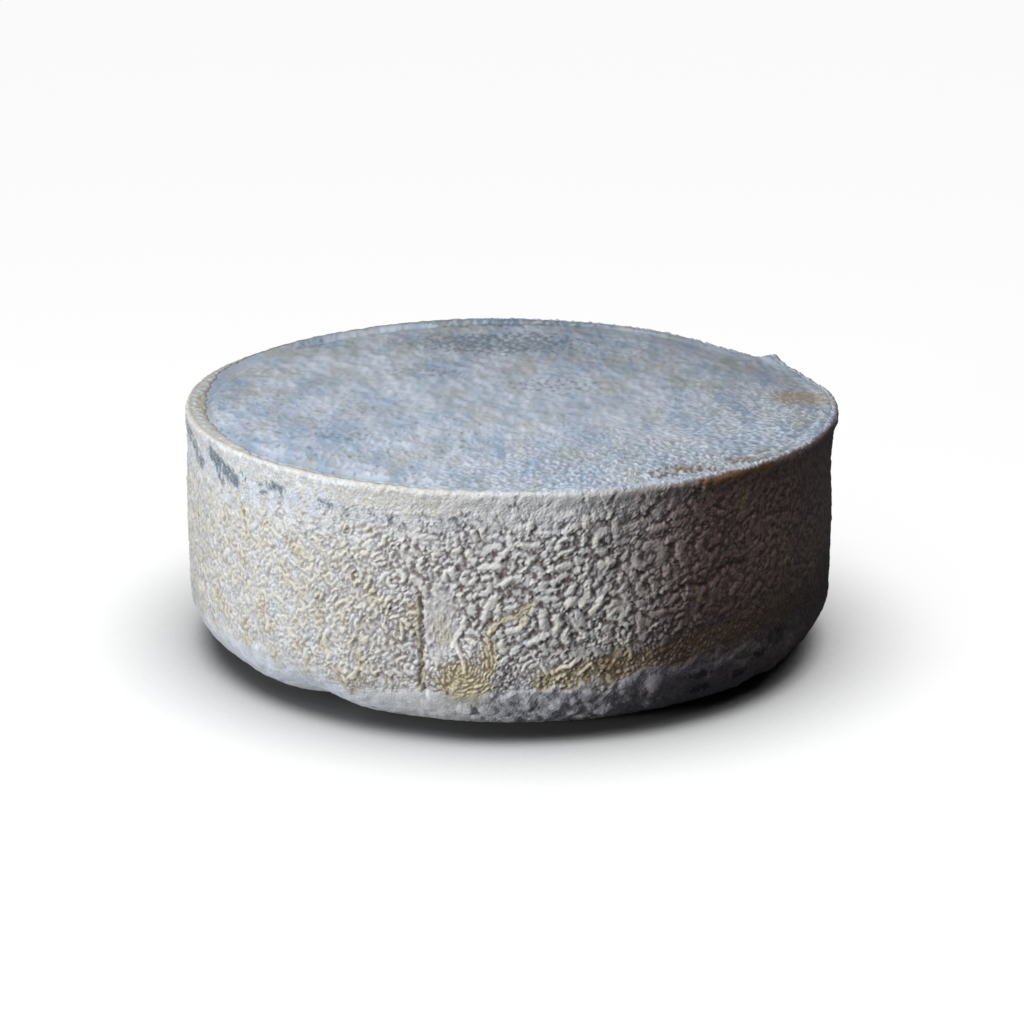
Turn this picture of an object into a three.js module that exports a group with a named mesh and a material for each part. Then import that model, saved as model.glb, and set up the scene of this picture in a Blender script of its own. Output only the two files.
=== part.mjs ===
import * as THREE from 'three';
import * as BufferGeometryUtils from 'three/addons/utils/BufferGeometryUtils.js';

// An uncut wheel of blue cheese with a natural rind, standing on its flat base.
// Units are millimetres, +Z is up, and the origin is the centre of the base.
// A bearing is an angle about +Z in degrees: 0 faces the front (-Y), 90 the right (+X).

// Driving dimensions
const WHEEL_RADIUS = 140;      // out to the rim of the top
const WHEEL_HEIGHT = 105.4;    // from the base to the crest of the rim
const SIDE_INSET = 1.4;        // how far the upright side stands back from the rim
const HEEL_HEIGHT = 25.4;      // height at which the rounded heel becomes the upright side
const HEEL_REACH = 31;         // how far the heel runs in under the wheel
const HEEL_POWER = 1.76;       // 2 rounds the heel as an ellipse, less comes nearer to a bevel
const RIM_BAND = 8;            // height over which the side swells out to the rim
const RIM_ROUND = 2.2;         // radius of the rim's edge
const RING_WIDTH = 9;          // width of the raised ring round the top
const RING_GROOVE = 1.2;       // depth of the crease inside the ring, where it is deepest
const TOP_DROP = 0.5;          // how far the top lies below the crest of the rim

// How finely the solid is divided
const SEGMENTS = 168;
const HEEL_STEPS = 8;
const SIDE_STEPS = 15;
const RIM_STEPS = 3;
const TOP_RADII = [126, 104, 70, 34, 0];

// Where the rim sags, or rises by a drop below zero. Bearings and spreads in degrees.
const RIM_SAGS = [
  { bearing: 131, spread: 15, drop: 3 },
  { bearing: 106, spread: 9, drop: 2.4 },
  { bearing: -121, spread: 13, drop: 0.6 },
  { bearing: -170, spread: 20, drop: -0.9 },
];
const RIM_KNOB = { bearing: 121, spread: 2.6, out: 0.8, up: 2.6 };

// A dent in the heel where the wheel was set down while soft
const HEEL_DENT = { bearing: -37.2, spread: 5.4, top: 17, inward: 1.6, upward: 2.1 };

// Shallow hollows under the rim, on the right and on the left
const RIM_HOLLOWS = [
  { bearing: 90, spread: 40, z: 84, reach: 15, depth: 1.6 },
  { bearing: -90, spread: 40, z: 91, reach: 12, depth: 0.9 },
];

// An upright crease in the side with a smooth patch and a mound of mould to its right
const CREASE = { bearing: -13.1, bottom: 20, top: 70, halfWidth: 2.2, depth: 1.3 };
const PATCH = { bearing: -9.6, z: 50, halfWidth: 8, halfHeight: 17 };
const MOUND = { bearing: -7, z: 30.5, halfWidth: 16, halfHeight: 12, height: 1.5 };

// A long slanting crack in the rolled wrinkles of the right front
const CRACK = { from: [27.5, 59], to: [43, 67], halfWidth: 2.4, depth: 1.2 };

// Wrinkles of the side: the height that they reach is blended between these bearings
const WRINKLE_ZONES = [
  { bearing: 0, height: 1.1 },
  { bearing: 30, height: 1.2 },
  { bearing: 62, height: 0.7 },
  { bearing: 90, height: 0.5 },
  { bearing: 150, height: 0.8 },
  { bearing: 215, height: 0.6 },
  { bearing: 275, height: 0.4 },
  { bearing: 320, height: 0.6 },
  { bearing: 345, height: 0.8 },
  { bearing: 360, height: 1.1 },
];
const WRINKLE_FOOT = 16;       // below this height the rind is a smooth bloom
const WRINKLE_HEAD = 97;       // above this height it smooths out under the rim
const CRAG_SPREAD = 0.7;       // crags reach this share of the wrinkles' height out and in
const CRAG_SINK = 0.3;         // and are sunk by this share, as the creases are sharper
const CRAG_SEED = 1905;

// Slow swells of the side and of the top: waves round the wheel, waves per metre, height, turn
const SIDE_SWELLS = [
  { round: 7, upright: 4, height: 0.2, turn: 0.4 },
  { round: 16, upright: -9, height: 0.18, turn: 2.1 },
  { round: 27, upright: 14, height: 0.16, turn: 4.4 },
];
const TOP_SWELLS = [
  { along: [9, 5], height: 0.25, turn: 0.9 },
  { along: [-6, 13], height: 0.2, turn: 3.0 },
  { along: [17, -11], height: 0.15, turn: 5.1 },
];

const SIDE_RADIUS = WHEEL_RADIUS - SIDE_INSET;
const BASE_RADIUS = SIDE_RADIUS - HEEL_REACH;
const BASE_INNER_RADIUS = BASE_RADIUS - 12;
const CREST_RADIUS = WHEEL_RADIUS - RIM_ROUND;
const GROOVE_RADIUS = WHEEL_RADIUS - RING_WIDTH;
const TOP_HEIGHT = WHEEL_HEIGHT - TOP_DROP;

const { smoothstep, degToRad, radToDeg, euclideanModulo, lerp } = THREE.MathUtils;

// Degrees from one bearing to another, the short way round
function bearingGap(from, to) {
  return euclideanModulo(to - from + 180, 360) - 180;
}

// Millimetres round the side from one bearing to another
function arcGap(from, to) {
  return degToRad(bearingGap(from, to)) * SIDE_RADIUS;
}

// 1 in the middle, falling smoothly to nothing about twice the spread away
function bell(distance, spread) {
  return Math.exp(-((distance / spread) ** 2));
}

// 1 inside an oval patch of the side, with soft edges
function oval(patch, bearing, z) {
  const across = arcGap(patch.bearing, bearing) / patch.halfWidth;
  const upward = (z - patch.z) / patch.halfHeight;
  return 1 - smoothstep(Math.hypot(across, upward), 0.6, 1.2);
}

function rimSag(bearing) {
  let drop = 0;
  for (const sag of RIM_SAGS) {
    drop += sag.drop * bell(bearingGap(sag.bearing, bearing), sag.spread);
  }
  return drop;
}

function knob(bearing) {
  return bell(bearingGap(RIM_KNOB.bearing, bearing), RIM_KNOB.spread);
}

// The raised ring stands clear on the left and fades into the top on the right
function ringStrength(bearing) {
  const fromLeft = Math.abs(bearingGap(-95, bearing));
  return 1 - 0.8 * smoothstep(fromLeft, 60, 110);
}

// The side stands back from the rim on the right and is flush with it on the left
function sideFlush(bearing) {
  return SIDE_INSET * (0.5 - 0.5 * Math.sin(degToRad(bearing)));
}

// 1 in the middle of the dent, fading to its sides and its top
function heelDent(bearing, z) {
  const low = 1 - smoothstep(z, HEEL_DENT.top * 0.4, HEEL_DENT.top * 1.3);
  return low * bell(bearingGap(HEEL_DENT.bearing, bearing), HEEL_DENT.spread);
}

function rimHollow(bearing, z) {
  let depth = 0;
  for (const hollow of RIM_HOLLOWS) {
    const around = bell(bearingGap(hollow.bearing, bearing), hollow.spread);
    depth += hollow.depth * around * bell(z - hollow.z, hollow.reach);
  }
  return depth;
}

function crease(bearing, z) {
  const upright = smoothstep(z, CREASE.bottom - 4, CREASE.bottom + 4)
    * (1 - smoothstep(z, CREASE.top - 4, CREASE.top + 4));
  return CREASE.depth * upright * bell(arcGap(CREASE.bearing, bearing), CREASE.halfWidth);
}

function crack(bearing, z) {
  const [startBearing, startZ] = CRACK.from;
  const run = arcGap(startBearing, CRACK.to[0]);
  const rise = CRACK.to[1] - startZ;
  const length = Math.hypot(run, rise);
  const across = arcGap(startBearing, bearing);
  const along = (across * run + (z - startZ) * rise) / length;
  const aside = (across * rise - (z - startZ) * run) / length;
  const ends = smoothstep(along, -4, 4) * (1 - smoothstep(along, length - 4, length + 4));
  return CRACK.depth * ends * bell(aside, CRACK.halfWidth);
}

// Height of the wrinkles at one place on the side
function wrinkleHeight(bearing, z) {
  const around = euclideanModulo(bearing, 360);
  const next = WRINKLE_ZONES.findIndex((zone) => zone.bearing > around);
  const before = WRINKLE_ZONES[next - 1];
  const after = WRINKLE_ZONES[next];
  const between = smoothstep(around, before.bearing, after.bearing);
  const zone = lerp(before.height, after.height, between);
  const foot = lerp(0.35, 1, smoothstep(z, WRINKLE_FOOT - 6, WRINKLE_FOOT + 8));
  const head = lerp(1, 0.3, smoothstep(z, WRINKLE_HEAD - 8, WRINKLE_HEAD + 2));
  return zone * foot * head * (1 - 0.75 * oval(PATCH, bearing, z));
}

// How far the side stands out from the plain wheel, without its crags
function sideForm(bearing, z) {
  let out = MOUND.height * oval(MOUND, bearing, z);
  out -= rimHollow(bearing, z) + crease(bearing, z) + crack(bearing, z);
  for (const swell of SIDE_SWELLS) {
    const turn = swell.round * degToRad(bearing) + 2 * Math.PI * swell.upright * z / 1000;
    out += swell.height * Math.cos(turn + swell.turn);
  }
  return out;
}

// How far the top stands up from a plain disc
function topForm(x, y) {
  let up = 0;
  for (const swell of TOP_SWELLS) {
    const turn = 2 * Math.PI * (swell.along[0] * x + swell.along[1] * y) / 1000;
    up += swell.height * Math.cos(turn + swell.turn);
  }
  return up;
}

// Half of the wheel's section, from the centre of the base round to the centre of the top
function wheelProfile() {
  const points = [0, BASE_INNER_RADIUS, BASE_RADIUS].map((r) => new THREE.Vector2(r, 0));
  for (let i = 1; i <= HEEL_STEPS; i++) {
    const turn = Math.PI / 2 * i / HEEL_STEPS;
    const out = Math.sin(turn) ** (2 / HEEL_POWER);
    const down = Math.abs(Math.cos(turn)) ** (2 / HEEL_POWER);
    points.push(new THREE.Vector2(BASE_RADIUS + HEEL_REACH * out, HEEL_HEIGHT * (1 - down)));
  }
  const sideTop = WHEEL_HEIGHT - RIM_BAND;
  for (let i = 1; i <= SIDE_STEPS; i++) {
    const z = lerp(HEEL_HEIGHT, sideTop, i / SIDE_STEPS);
    points.push(new THREE.Vector2(SIDE_RADIUS, z));
  }
  for (let i = 0; i <= RIM_STEPS; i++) {
    const turn = Math.PI / 2 * i / RIM_STEPS;
    const r = CREST_RADIUS + RIM_ROUND * Math.cos(turn);
    points.push(new THREE.Vector2(r, WHEEL_HEIGHT - RIM_ROUND * (1 - Math.sin(turn))));
  }
  points.push(new THREE.Vector2(lerp(CREST_RADIUS, GROOVE_RADIUS, 0.5), WHEEL_HEIGHT));
  points.push(new THREE.Vector2(GROOVE_RADIUS, TOP_HEIGHT));
  for (const radius of TOP_RADII) {
    points.push(new THREE.Vector2(radius, TOP_HEIGHT));
  }
  return points;
}

// Moves one point of the plain wheel to its place on the real one
function shapePoint(point, crag) {
  const bearing = radToDeg(Math.atan2(point.x, -point.y));
  const radius = Math.hypot(point.x, point.y);
  const z = point.z;
  let out = 0;
  let up = 0;
  if (z > HEEL_HEIGHT && radius < CREST_RADIUS - 0.01) {
    const insideRing = 1 - smoothstep(radius, GROOVE_RADIUS - 4, GROOVE_RADIUS);
    const groove = bell(radius - GROOVE_RADIUS, 2.5) * RING_GROOVE * ringStrength(bearing);
    up = topForm(point.x, point.y) * insideRing - groove;
  } else if (z > 0) {
    const clearOfBase = smoothstep(z, 0, 9);
    const belowCrest = 1 - smoothstep(z, WHEEL_HEIGHT - RIM_ROUND, WHEEL_HEIGHT);
    const belowRim = 1 - smoothstep(z, WHEEL_HEIGHT - RIM_BAND, WHEEL_HEIGHT - RIM_ROUND);
    const cragged = (CRAG_SPREAD * crag - CRAG_SINK) * wrinkleHeight(bearing, z);
    const relief = sideForm(bearing, z) + cragged;
    const push = relief * clearOfBase * belowCrest;
    const steepness = Math.min(1, z / HEEL_HEIGHT);
    out = push * Math.sqrt(steepness) + sideFlush(bearing) * clearOfBase * belowRim;
    up = -push * (1 - steepness);
  }
  if (radius > BASE_INNER_RADIUS + 0.01) {
    const dent = heelDent(bearing, z);
    out -= HEEL_DENT.inward * dent;
    up += HEEL_DENT.upward * dent;
  }
  const rimShare = smoothstep(z, WHEEL_HEIGHT * 0.8, WHEEL_HEIGHT)
    * smoothstep(radius, WHEEL_RADIUS - 30, CREST_RADIUS);
  out += RIM_KNOB.out * knob(bearing) * rimShare;
  up += (RIM_KNOB.up * knob(bearing) - rimSag(bearing)) * rimShare;
  const scale = radius > 0 ? (radius + out) / radius : 1;
  return new THREE.Vector3(point.x * scale, point.y * scale, z + up);
}

function wheelGeometry() {
  const turned = new THREE.LatheGeometry(wheelProfile(), SEGMENTS);
  turned.rotateX(Math.PI / 2);
  turned.deleteAttribute('normal');
  turned.deleteAttribute('uv');
  const geometry = BufferGeometryUtils.mergeVertices(turned, 1e-3);
  const positions = geometry.attributes.position;
  THREE.MathUtils.seededRandom(CRAG_SEED);
  for (let i = 0; i < positions.count; i++) {
    const plain = new THREE.Vector3().fromBufferAttribute(positions, i);
    const crag = THREE.MathUtils.seededRandom() * 2 - 1;
    const shaped = shapePoint(plain, crag);
    positions.setXYZ(i, shaped.x, shaped.y, shaped.z);
  }
  geometry.computeVertexNormals();
  return geometry;
}

// Natural rind: dry, dull, grey-white bloom over cream cheese
const rind = new THREE.MeshStandardMaterial({
  color: '#b4ada3',
  roughness: 0.88,
  metalness: 0,
});

const wheel = new THREE.Mesh(wheelGeometry(), rind);
wheel.name = 'cheese_wheel';

const cheese = new THREE.Group();
cheese.add(wheel);

export default cheese;
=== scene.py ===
"""An uncut wheel of blue cheese with a natural rind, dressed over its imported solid."""

import math
from functools import reduce
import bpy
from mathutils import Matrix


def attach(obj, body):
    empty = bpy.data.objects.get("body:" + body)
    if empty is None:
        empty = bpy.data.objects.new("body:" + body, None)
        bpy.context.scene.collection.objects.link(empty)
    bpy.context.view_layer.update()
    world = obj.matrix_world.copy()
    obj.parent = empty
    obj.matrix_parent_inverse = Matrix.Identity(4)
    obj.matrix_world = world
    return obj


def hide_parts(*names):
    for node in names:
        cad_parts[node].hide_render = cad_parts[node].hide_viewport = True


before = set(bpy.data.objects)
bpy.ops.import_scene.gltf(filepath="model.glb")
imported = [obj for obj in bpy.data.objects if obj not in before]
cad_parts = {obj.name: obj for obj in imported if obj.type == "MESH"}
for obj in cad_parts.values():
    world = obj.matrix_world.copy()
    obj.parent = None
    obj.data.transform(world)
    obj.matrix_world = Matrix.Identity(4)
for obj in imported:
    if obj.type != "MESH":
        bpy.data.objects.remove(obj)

from types import SimpleNamespace

import bmesh
import bpy
import numpy as np
from bpy.props import FloatProperty, FloatVectorProperty, IntProperty, PointerProperty
from mathutils import Matrix, Vector

bl_info = {
    "name": "Blue Cheese Wheel",
    "version": (1, 0, 0),
    "blender": (4, 5, 0),
    "location": "View3D > Sidebar > Cheese",
    "description": "Builds the wrinkled rind, mould mat and base of an uncut wheel of blue cheese",
    "category": "Add Mesh",
}

# Lengths are millimetres up to where a mesh is written, and MM turns them into metres.
# A bearing is an angle about +Z in degrees: 0 faces the front (-Y), 90 the right (+X).
MM = 0.001
NODE = "cheese_wheel"
BODY = "root"

# The plain wheel that the solid is shaped from
WHEEL_RADIUS = 140.0
WHEEL_HEIGHT = 105.4
SIDE_INSET = 1.4
HEEL_HEIGHT = 25.4
HEEL_REACH = 31.0
HEEL_POWER = 1.76
RIM_BAND = 8.0
RIM_ROUND = 2.2
RING_WIDTH = 9.0
RING_GROOVE = 1.2
TOP_DROP = 0.5
SIDE_RADIUS = WHEEL_RADIUS - SIDE_INSET
BASE_RADIUS = SIDE_RADIUS - HEEL_REACH
CREST_RADIUS = WHEEL_RADIUS - RIM_ROUND
GROOVE_RADIUS = WHEEL_RADIUS - RING_WIDTH
TOP_HEIGHT = WHEEL_HEIGHT - TOP_DROP

# Main forms: bearings and spreads in degrees, the rest in millimetres
RIM_SAGS = [(131, 15, 3.0), (106, 9, 2.4), (-121, 13, 0.6), (-170, 20, -0.9)]  # bearing, spread, drop
KNOB = {"bearing": 121, "spread": 2.6, "out": 0.8, "up": 2.6}
DENT = {"bearing": -37.2, "spread": 5.4, "top": 17, "inward": 1.6, "upward": 2.1}
RIM_HOLLOWS = [(90, 40, 84, 15, 1.6), (-90, 40, 91, 12, 0.9)]  # bearing, spread, z, reach, depth
CREASE = {"bearing": -14.3, "bottom": 20, "top": 62, "half_width": 1.1, "depth": 1.7}
PATCH = {"bearing": -11.2, "z": 51, "half_width": 7, "half_height": 15}
MOUND = {"bearing": -7, "z": 30.5, "half_width": 16, "half_height": 12, "height": 1.5}
CRACK = {"start": (27.5, 59), "end": (43, 67), "half_width": 1.4, "depth": 1.0}
SIDE_SWELLS = [(7, 4, 0.2, 0.4), (16, -9, 0.18, 2.1), (27, 14, 0.16, 4.4)]  # round, per m, height, turn
TOP_SWELLS = [(9, 5, 0.25, 0.9), (-6, 13, 0.2, 3.0), (17, -11, 0.15, 5.1)]  # per m, per m, height, turn

# The map of the rind: a grid unrolled from the side, on which its fine relief is worked out
CELL = 0.34
MAP_COLUMNS = 2560
MAP_SEED = 1905

# Wrinkles by bearing: half width and height of the rolls, where they fade out upwards, and how long
# they grow
WRINKLE_ZONES = [
    (0, 1.50, 1.25, 97, 1.0),
    (10, 1.70, 1.35, 98, 1.0),
    (18, 1.70, 1.25, 99, 1.0),
    (28, 1.60, 1.00, 103, 1.0),
    (40, 1.40, 0.65, 106, 1.0),
    (60, 1.15, 0.45, 104, 1.0),
    (80, 1.05, 0.25, 102, 0.9),
    (150, 1.40, 0.70, 98, 0.9),
    (215, 1.10, 0.42, 94, 0.7),
    (275, 0.84, 0.44, 91, 0.8),
    (298, 0.84, 0.58, 91, 0.8),
    (315, 0.82, 0.82, 91, 0.9),
    (328, 0.84, 1.25, 91, 0.9),
    (340, 0.92, 1.30, 91, 0.9),
    (350, 1.25, 1.15, 94, 0.95),
]
# Where the coarse rolls turn into fine pebbles, and these into the smooth foot, by bearing
FOOT_ZONES = [
    (0, 33, 23),
    (8, 34, 23.5),
    (15, 38, 25.5),
    (25, 42, 28.5),
    (34, 45, 30),
    (50, 45, 27),
    (75, 36, 22),
    (180, 34, 18),
    (270, 30, 22),
    (309, 29, 25),
    (322, 25, 20.5),
    (332, 22, 17.5),
    (341, 27, 22),
    (350, 30, 24),
]
# Passes of rolls laid on the rind: tries, share of the half width, shortest and longest in half
# widths, and spacing in half widths
STROKE_PASSES = [
    (18000, 1.0, 2.0, 6.5, 1.6),
    (24000, 0.8, 0.3, 2.8, 1.6),
    (34000, 0.6, 0.0, 1.5, 1.55),
    (40000, 0.42, 0.0, 0.9, 1.5),
]
# Rolls listed one by one and laid before the others: half width, and places by bearing and z
PALE_ROLLS = [
    (1.7, [(12.6, 67.7), (12.5, 62.5), (11.6, 58.2)]),
    (1.1, [(9.7, 54.9), (10.5, 50.8), (11.6, 46.4)]),
    (0.75, [(6.2, 37.2), (7.5, 39.5), (9.1, 40.0), (10.6, 40.6)]),
    (1.0, [(7.5, 31.8), (8.5, 33.3), (9.8, 33.4), (10.8, 35.6), (11.6, 38.0)]),
    (0.9, [(3.4, 40.0), (4.2, 37.3), (5.0, 34.1), (6.1, 30.6)]),
    (0.9, [(2.0, 32.7), (2.6, 35.0), (3.6, 36.3)]),
    (2.3, [(9.5, 59.4), (10.1, 60.3)]),
    (1.7, [(13.3, 55.3), (14.0, 57.4), (15.0, 60.8)]),
    (1.4, [(16.3, 52.9), (17.1, 55.2), (18.4, 56.1)]),
    (1.3, [(18.5, 61.1), (18.9, 58.4), (19.6, 56.1)]),
    (1.0, [(21.8, 54.7), (23.0, 54.4), (24.3, 55.0)]),
    (0.9, [(22.5, 61.5), (22.9, 59.0), (23.0, 56.6)]),
    (1.3, [(25.3, 60.6), (26.3, 62.6)]),
    (0.9, [(17.8, 46.7), (17.7, 43.5), (18.6, 40.9), (19.6, 42.0), (19.8, 45.1)]),
    (1.0, [(14.7, 50.0), (14.2, 46.5), (15.0, 42.1)]),
    (1.1, [(23.4, 45.9), (24.6, 47.8)]),
    (1.2, [(17.2, 52.0), (18.3, 50.2), (19.3, 48.4)]),
    (1.3, [(-7.3, 53.8), (-7.7, 50.5), (-8.4, 46.5), (-9.4, 41.5)]),
    (0.9, [(-8.8, 43.0), (-7.9, 38.0), (-7.1, 31.5)]),
    (1.3, [(-6.7, 45.0), (-5.8, 43.5)]),
    (1.0, [(-6.0, 48.5), (-5.2, 46.5)]),
]
OCHRE_ROLLS = [
    (1.15, [(-3.4, 47.9), (-2.3, 51.1), (-0.8, 53.8), (0.8, 54.4)]),
    (1.0, [(1.0, 55.0), (2.1, 58.0), (4.1, 60.0)]),
    (0.95, [(2.6, 57.0), (1.8, 52.4)]),
    (0.6, [(-15.1, 60.5), (-14.9, 56.0), (-15.2, 53.0)]),
    (0.65, [(-15.0, 51.5), (-15.2, 47.5), (-14.9, 43.5)]),
    (0.6, [(-14.8, 41.5), (-14.3, 37.0), (-14.6, 33.0)]),
    (0.6, [(-14.2, 31.0), (-14.6, 27.0), (-14.7, 22.0)]),
    (0.8, [(11.2, 29.7), (12.3, 32.2), (13.1, 34.1), (13.8, 31.6)]),
    (0.85, [(19.6, 38.9), (19.8, 36.7), (20.0, 34.8)]),
    (0.85, [(17.7, 40.2), (18.2, 37.7), (18.3, 35.3)]),
    (0.8, [(22.9, 37.8), (23.6, 36.0), (23.8, 33.7)]),
    (0.8, [(31.9, 60.1), (32.1, 55.8), (33.0, 53.6)]),
]
# The cap of fine ridges on the mound, which climbs into a limb on its right, and its pale pad
CAP = {"bearing": -7.8, "z": 27.5, "half_width": 13.2, "half_height": 12.2}
LIMB = [(-3.6, 46), (-3.4, 38), (-3.0, 31)]
LIMB_HALF_WIDTH = 3.6
CAP_TURNS_ABOUT = (-7.8, 34)
CAP_ROLL = 0.5  # half width of the cap's rolls
LUMP = 3.0  # half width of the lumps of bloom at the front foot
# Soft ovals of the side: bearing, z, half width, half height, strength
PAD = (-11.2, 36.0, 5.5, 4.5, 1.0)
FINE_RIDGES = (-17.8, 30, 8, 12, 1.0)
PATCH_STAIN = (-11.2, 48, 4.5, 9, 1.0)
UPRIGHT_ROLLS = [(-25, 30, 6, 10, 1.0), (-9.6, 56, 7, 18, 1.0)]
RUST_LINE = [(33, 103.2), (48, 103.4)]  # places by bearing and z
# Radius by bearing where the mould mat of the top ends, inside or just short of the rim's crest
MAT_EDGES = [
    (0, 137.3),
    (240, 137.3),
    (255, 134.5),
    (270, 131.2),
    (298, 130.9),
    (304, 132.4),
    (309, 136.3),
    (314, 136.9),
    (345, 137.3),
]
MAT_REACH = 137.2  # the largest radius that the mat may have
# Yeasts and moulds of the side, by bearing and z; spots are soft ovals
OCHRE_BRANCHES = [
    [(-25.7, 35), (-25.3, 27.6)],
    [(-29.6, 25), (-28.6, 17.5)],
    [(-35.9, 28), (-36.0, 22)],
    [(-52.4, 88), (-51.5, 84), (-50.5, 79.5)],
    [(-50.4, 77), (-49.7, 70)],
]
OCHRE_BAND = [(6, 27), (14.8, 30.6), (23.6, 32.3), (33.3, 35), (44, 38), (58, 40)]
OCHRE_SPOTS = [
    (-7.4, 27.5, 13, 10.5, 0.95),
    (-3.4, 37, 4.5, 12, 0.8),
    (-21, 24, 5, 3, 0.45),
    (-65.5, 85.6, 1.2, 1.6, 0.9),
    (-65.7, 80.3, 1.0, 1.8, 0.8),
    (-69.2, 66.6, 1.8, 2.2, 1.0),
    (-65.7, 64.8, 1.2, 2.4, 1.0),
    (-67.0, 52.9, 2.2, 1.8, 1.0),
    (-57.5, 88.7, 1.4, 1.4, 0.9),
    (-50.5, 79.9, 1.2, 1.6, 1.0),
    (-44.7, 80.2, 2.2, 1.8, 0.5),
    (-47, 60, 3, 5, 0.4),
    (-30, 50, 4, 6, 0.4),
    (-24, 60, 6, 9, 0.42),
    (-17, 50, 5, 6, 0.45),
    (-16, 56, 3, 4, 0.6),
    (41.5, 92, 4.5, 7, 0.95),
    (54, 62, 10, 20, 0.45),
    (66, 50, 10, 26, 0.5),
    (62, 97, 8, 4, 0.6),
    (150, 40, 30, 14, 0.55),
    (205, 72, 22, 16, 0.45),
    (250, 34, 30, 10, 0.42),
]
MOULD_STREAKS = [  # places by bearing and z, half width, strength
    ([(-78, 100), (-72, 97.5), (-67, 92)], 4.2, 0.8),
    ([(-62, 98.6), (-57, 96), (-53, 93)], 3.6, 1.1),
    ([(-60, 95), (-57.5, 89)], 2.2, 0.8),
    ([(-51, 97.5), (-50.5, 95)], 1.6, 0.7),
    ([(-46, 93.5), (-43, 96.5), (-40.5, 95)], 2.6, 0.75),
    ([(-33, 94), (-26, 92.4), (-18, 91)], 3.6, 0.5),
    ([(-12, 92), (-3, 94)], 3.0, 0.5),
    ([(150, 97), (175, 92)], 3.5, 0.7),
    ([(222, 98), (243, 93)], 3.5, 0.75),
]
MOULD_SPOTS = [
    (51.5, 28.5, 8, 4.2, 1.3),
    (47, 24, 5, 3, 1.0),
    (42, 18.4, 6.5, 3.2, 1.2),
    (34.2, 15, 7.5, 3, 1.2),
    (33, 22.5, 8, 2, 1.0),
    (65.5, 11.4, 9, 5, 1.1),
    (26, 14, 3, 2, 0.5),
    (96, 26, 8, 5, 0.75),
    (164, 20, 9, 4, 0.7),
    (214, 60, 6, 5, 0.5),
    (262, 22, 8, 4, 0.6),
]
# Patches of the top: x, y, reach along x and y, and strength
BARE_PATCH = (125, 4, 15, 15)
TOP_OCHRE = [
    (-107, 41, 22, 14, 0.6),
    (-96, 77, 22, 16, 0.6),
    (-60, -90, 30, 10, 0.45),
    (69, -107, 10, 6, 0.8),
    (79, -96, 9, 6, 0.7),
    (105, -81, 14, 8, 0.8),
    (95, -92, 12, 7, 0.7),
    (82, 21, 20, 16, 0.55),
    (60, 60, 30, 26, 0.45),
    (100, 55, 22, 20, 0.5),
    (-20, -20, 40, 20, 0.38),
]
TOP_MOULD = [
    (-10, 132, 95, 8, 0.6),
    (-95, 92, 16, 12, 0.5),
    (-5, 95, 50, 26, 0.62),
    (105, -85, 34, 16, 0.5),
    (-70, -60, 18, 10, 0.42),
    (20, 20, 30, 18, 0.4),
    (-40, 40, 26, 14, 0.4),
]
TOP_RUST = [(72, -105, 14, 6, 0.62), (96, -92, 12, 6, 0.6), (60, -112, 8, 5, 0.55)]
TOP_VEILS = [(0, -20, 70, 50, 0.2), (-80, 55, 40, 30, 0.25)]

STROKE_STEP = 1.2  # cells between the points of a stroke
SLOPE_STEP = 0.22  # millimetres over which the side's slopes are taken
UV_SHARE = 0.97  # share of the UV square that the visible faces fill
UV_HIDDEN = 0.99  # corner of it where the hidden faces lie
# Masks that the rind's pieces carry for its material
RIND_MASKS = (
    "share", "tone", "ochre", "mould", "cream", "bare", "deep", "frost", "rust", "dusky_and_shade", "powder_and_light", "chalk",
    "shade_low_right", "grit", "shade",
)
# Six stretches of the side: name, bearing where it starts and degrees that it spans
STRETCHES = [
    ("rind_front_left", -60, 40),
    ("rind_front", -20, 40),
    ("rind_front_right", 20, 40),
    ("rind_right", 60, 80),
    ("rind_back", 140, 80),
    ("rind_left", 220, 80),
]

# The stage: metres and degrees
WHEEL_MIDDLE = (0, 0, 0.05)
KEY_BEARING = -53
KEY_DISTANCE = 1.3
CAMERA_TILT = 17.716
CAMERA_ROLL = 0.296
CAMERA_DISTANCE = 1.25
CAMERA_AIM = 0.05266
CAMERA_SHIFT = (0.00066, 0.00127)


def smoothstep(value, low, high):
    """0 below low, 1 above high and a smooth rise between them."""
    share = np.clip((value - low) / (high - low), 0.0, 1.0)
    return share * share * (3.0 - 2.0 * share)


def window(value, rise_from, rise_to, fall_from, fall_to):
    """1 between two values, rising smoothly before them and falling smoothly after."""
    return smoothstep(value, rise_from, rise_to) * (1.0 - smoothstep(value, fall_from, fall_to))


def lerp(start, end, share):
    """The value that lies at a share of the way from start to end."""
    return start + (end - start) * share


def bell(distance, spread):
    """1 in the middle, falling smoothly to nothing about twice the spread away."""
    return np.exp(-((distance / spread) ** 2))


def bearing_gap(start, end):
    """Degrees from one bearing to another, the short way round."""
    return (end - start + 180.0) % 360.0 - 180.0


def arc_gap(start, end):
    """Millimetres round the side from one bearing to another."""
    return np.radians(bearing_gap(start, end)) * SIDE_RADIUS


def round_the_wheel(bearing, zones, column):
    """A value of a table of zones at a bearing, blended between the zones."""
    at = [zone[0] for zone in zones]
    return np.interp(bearing % 360.0, at, [zone[column] for zone in zones], period=360.0)


def oval(bearing, z, spot, inner=0.6, outer=1.2):
    """1 inside an oval patch of the side, with soft edges."""
    across = arc_gap(spot["bearing"], bearing) / spot["half_width"]
    upward = (z - spot["z"]) / spot["half_height"]
    return 1.0 - smoothstep(np.hypot(across, upward), inner, outer)


def linear(code):
    """An sRGB colour such as #c8c3bc as linear red, green, blue and alpha."""
    shares = [int(code[i:i + 2], 16) / 255.0 for i in (1, 3, 5)]
    return tuple(s / 12.92 if s <= 0.04045 else ((s + 0.055) / 1.055) ** 2.4 for s in shares) + (1.0,)


# ---------------------------------------------------------------- main forms


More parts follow.
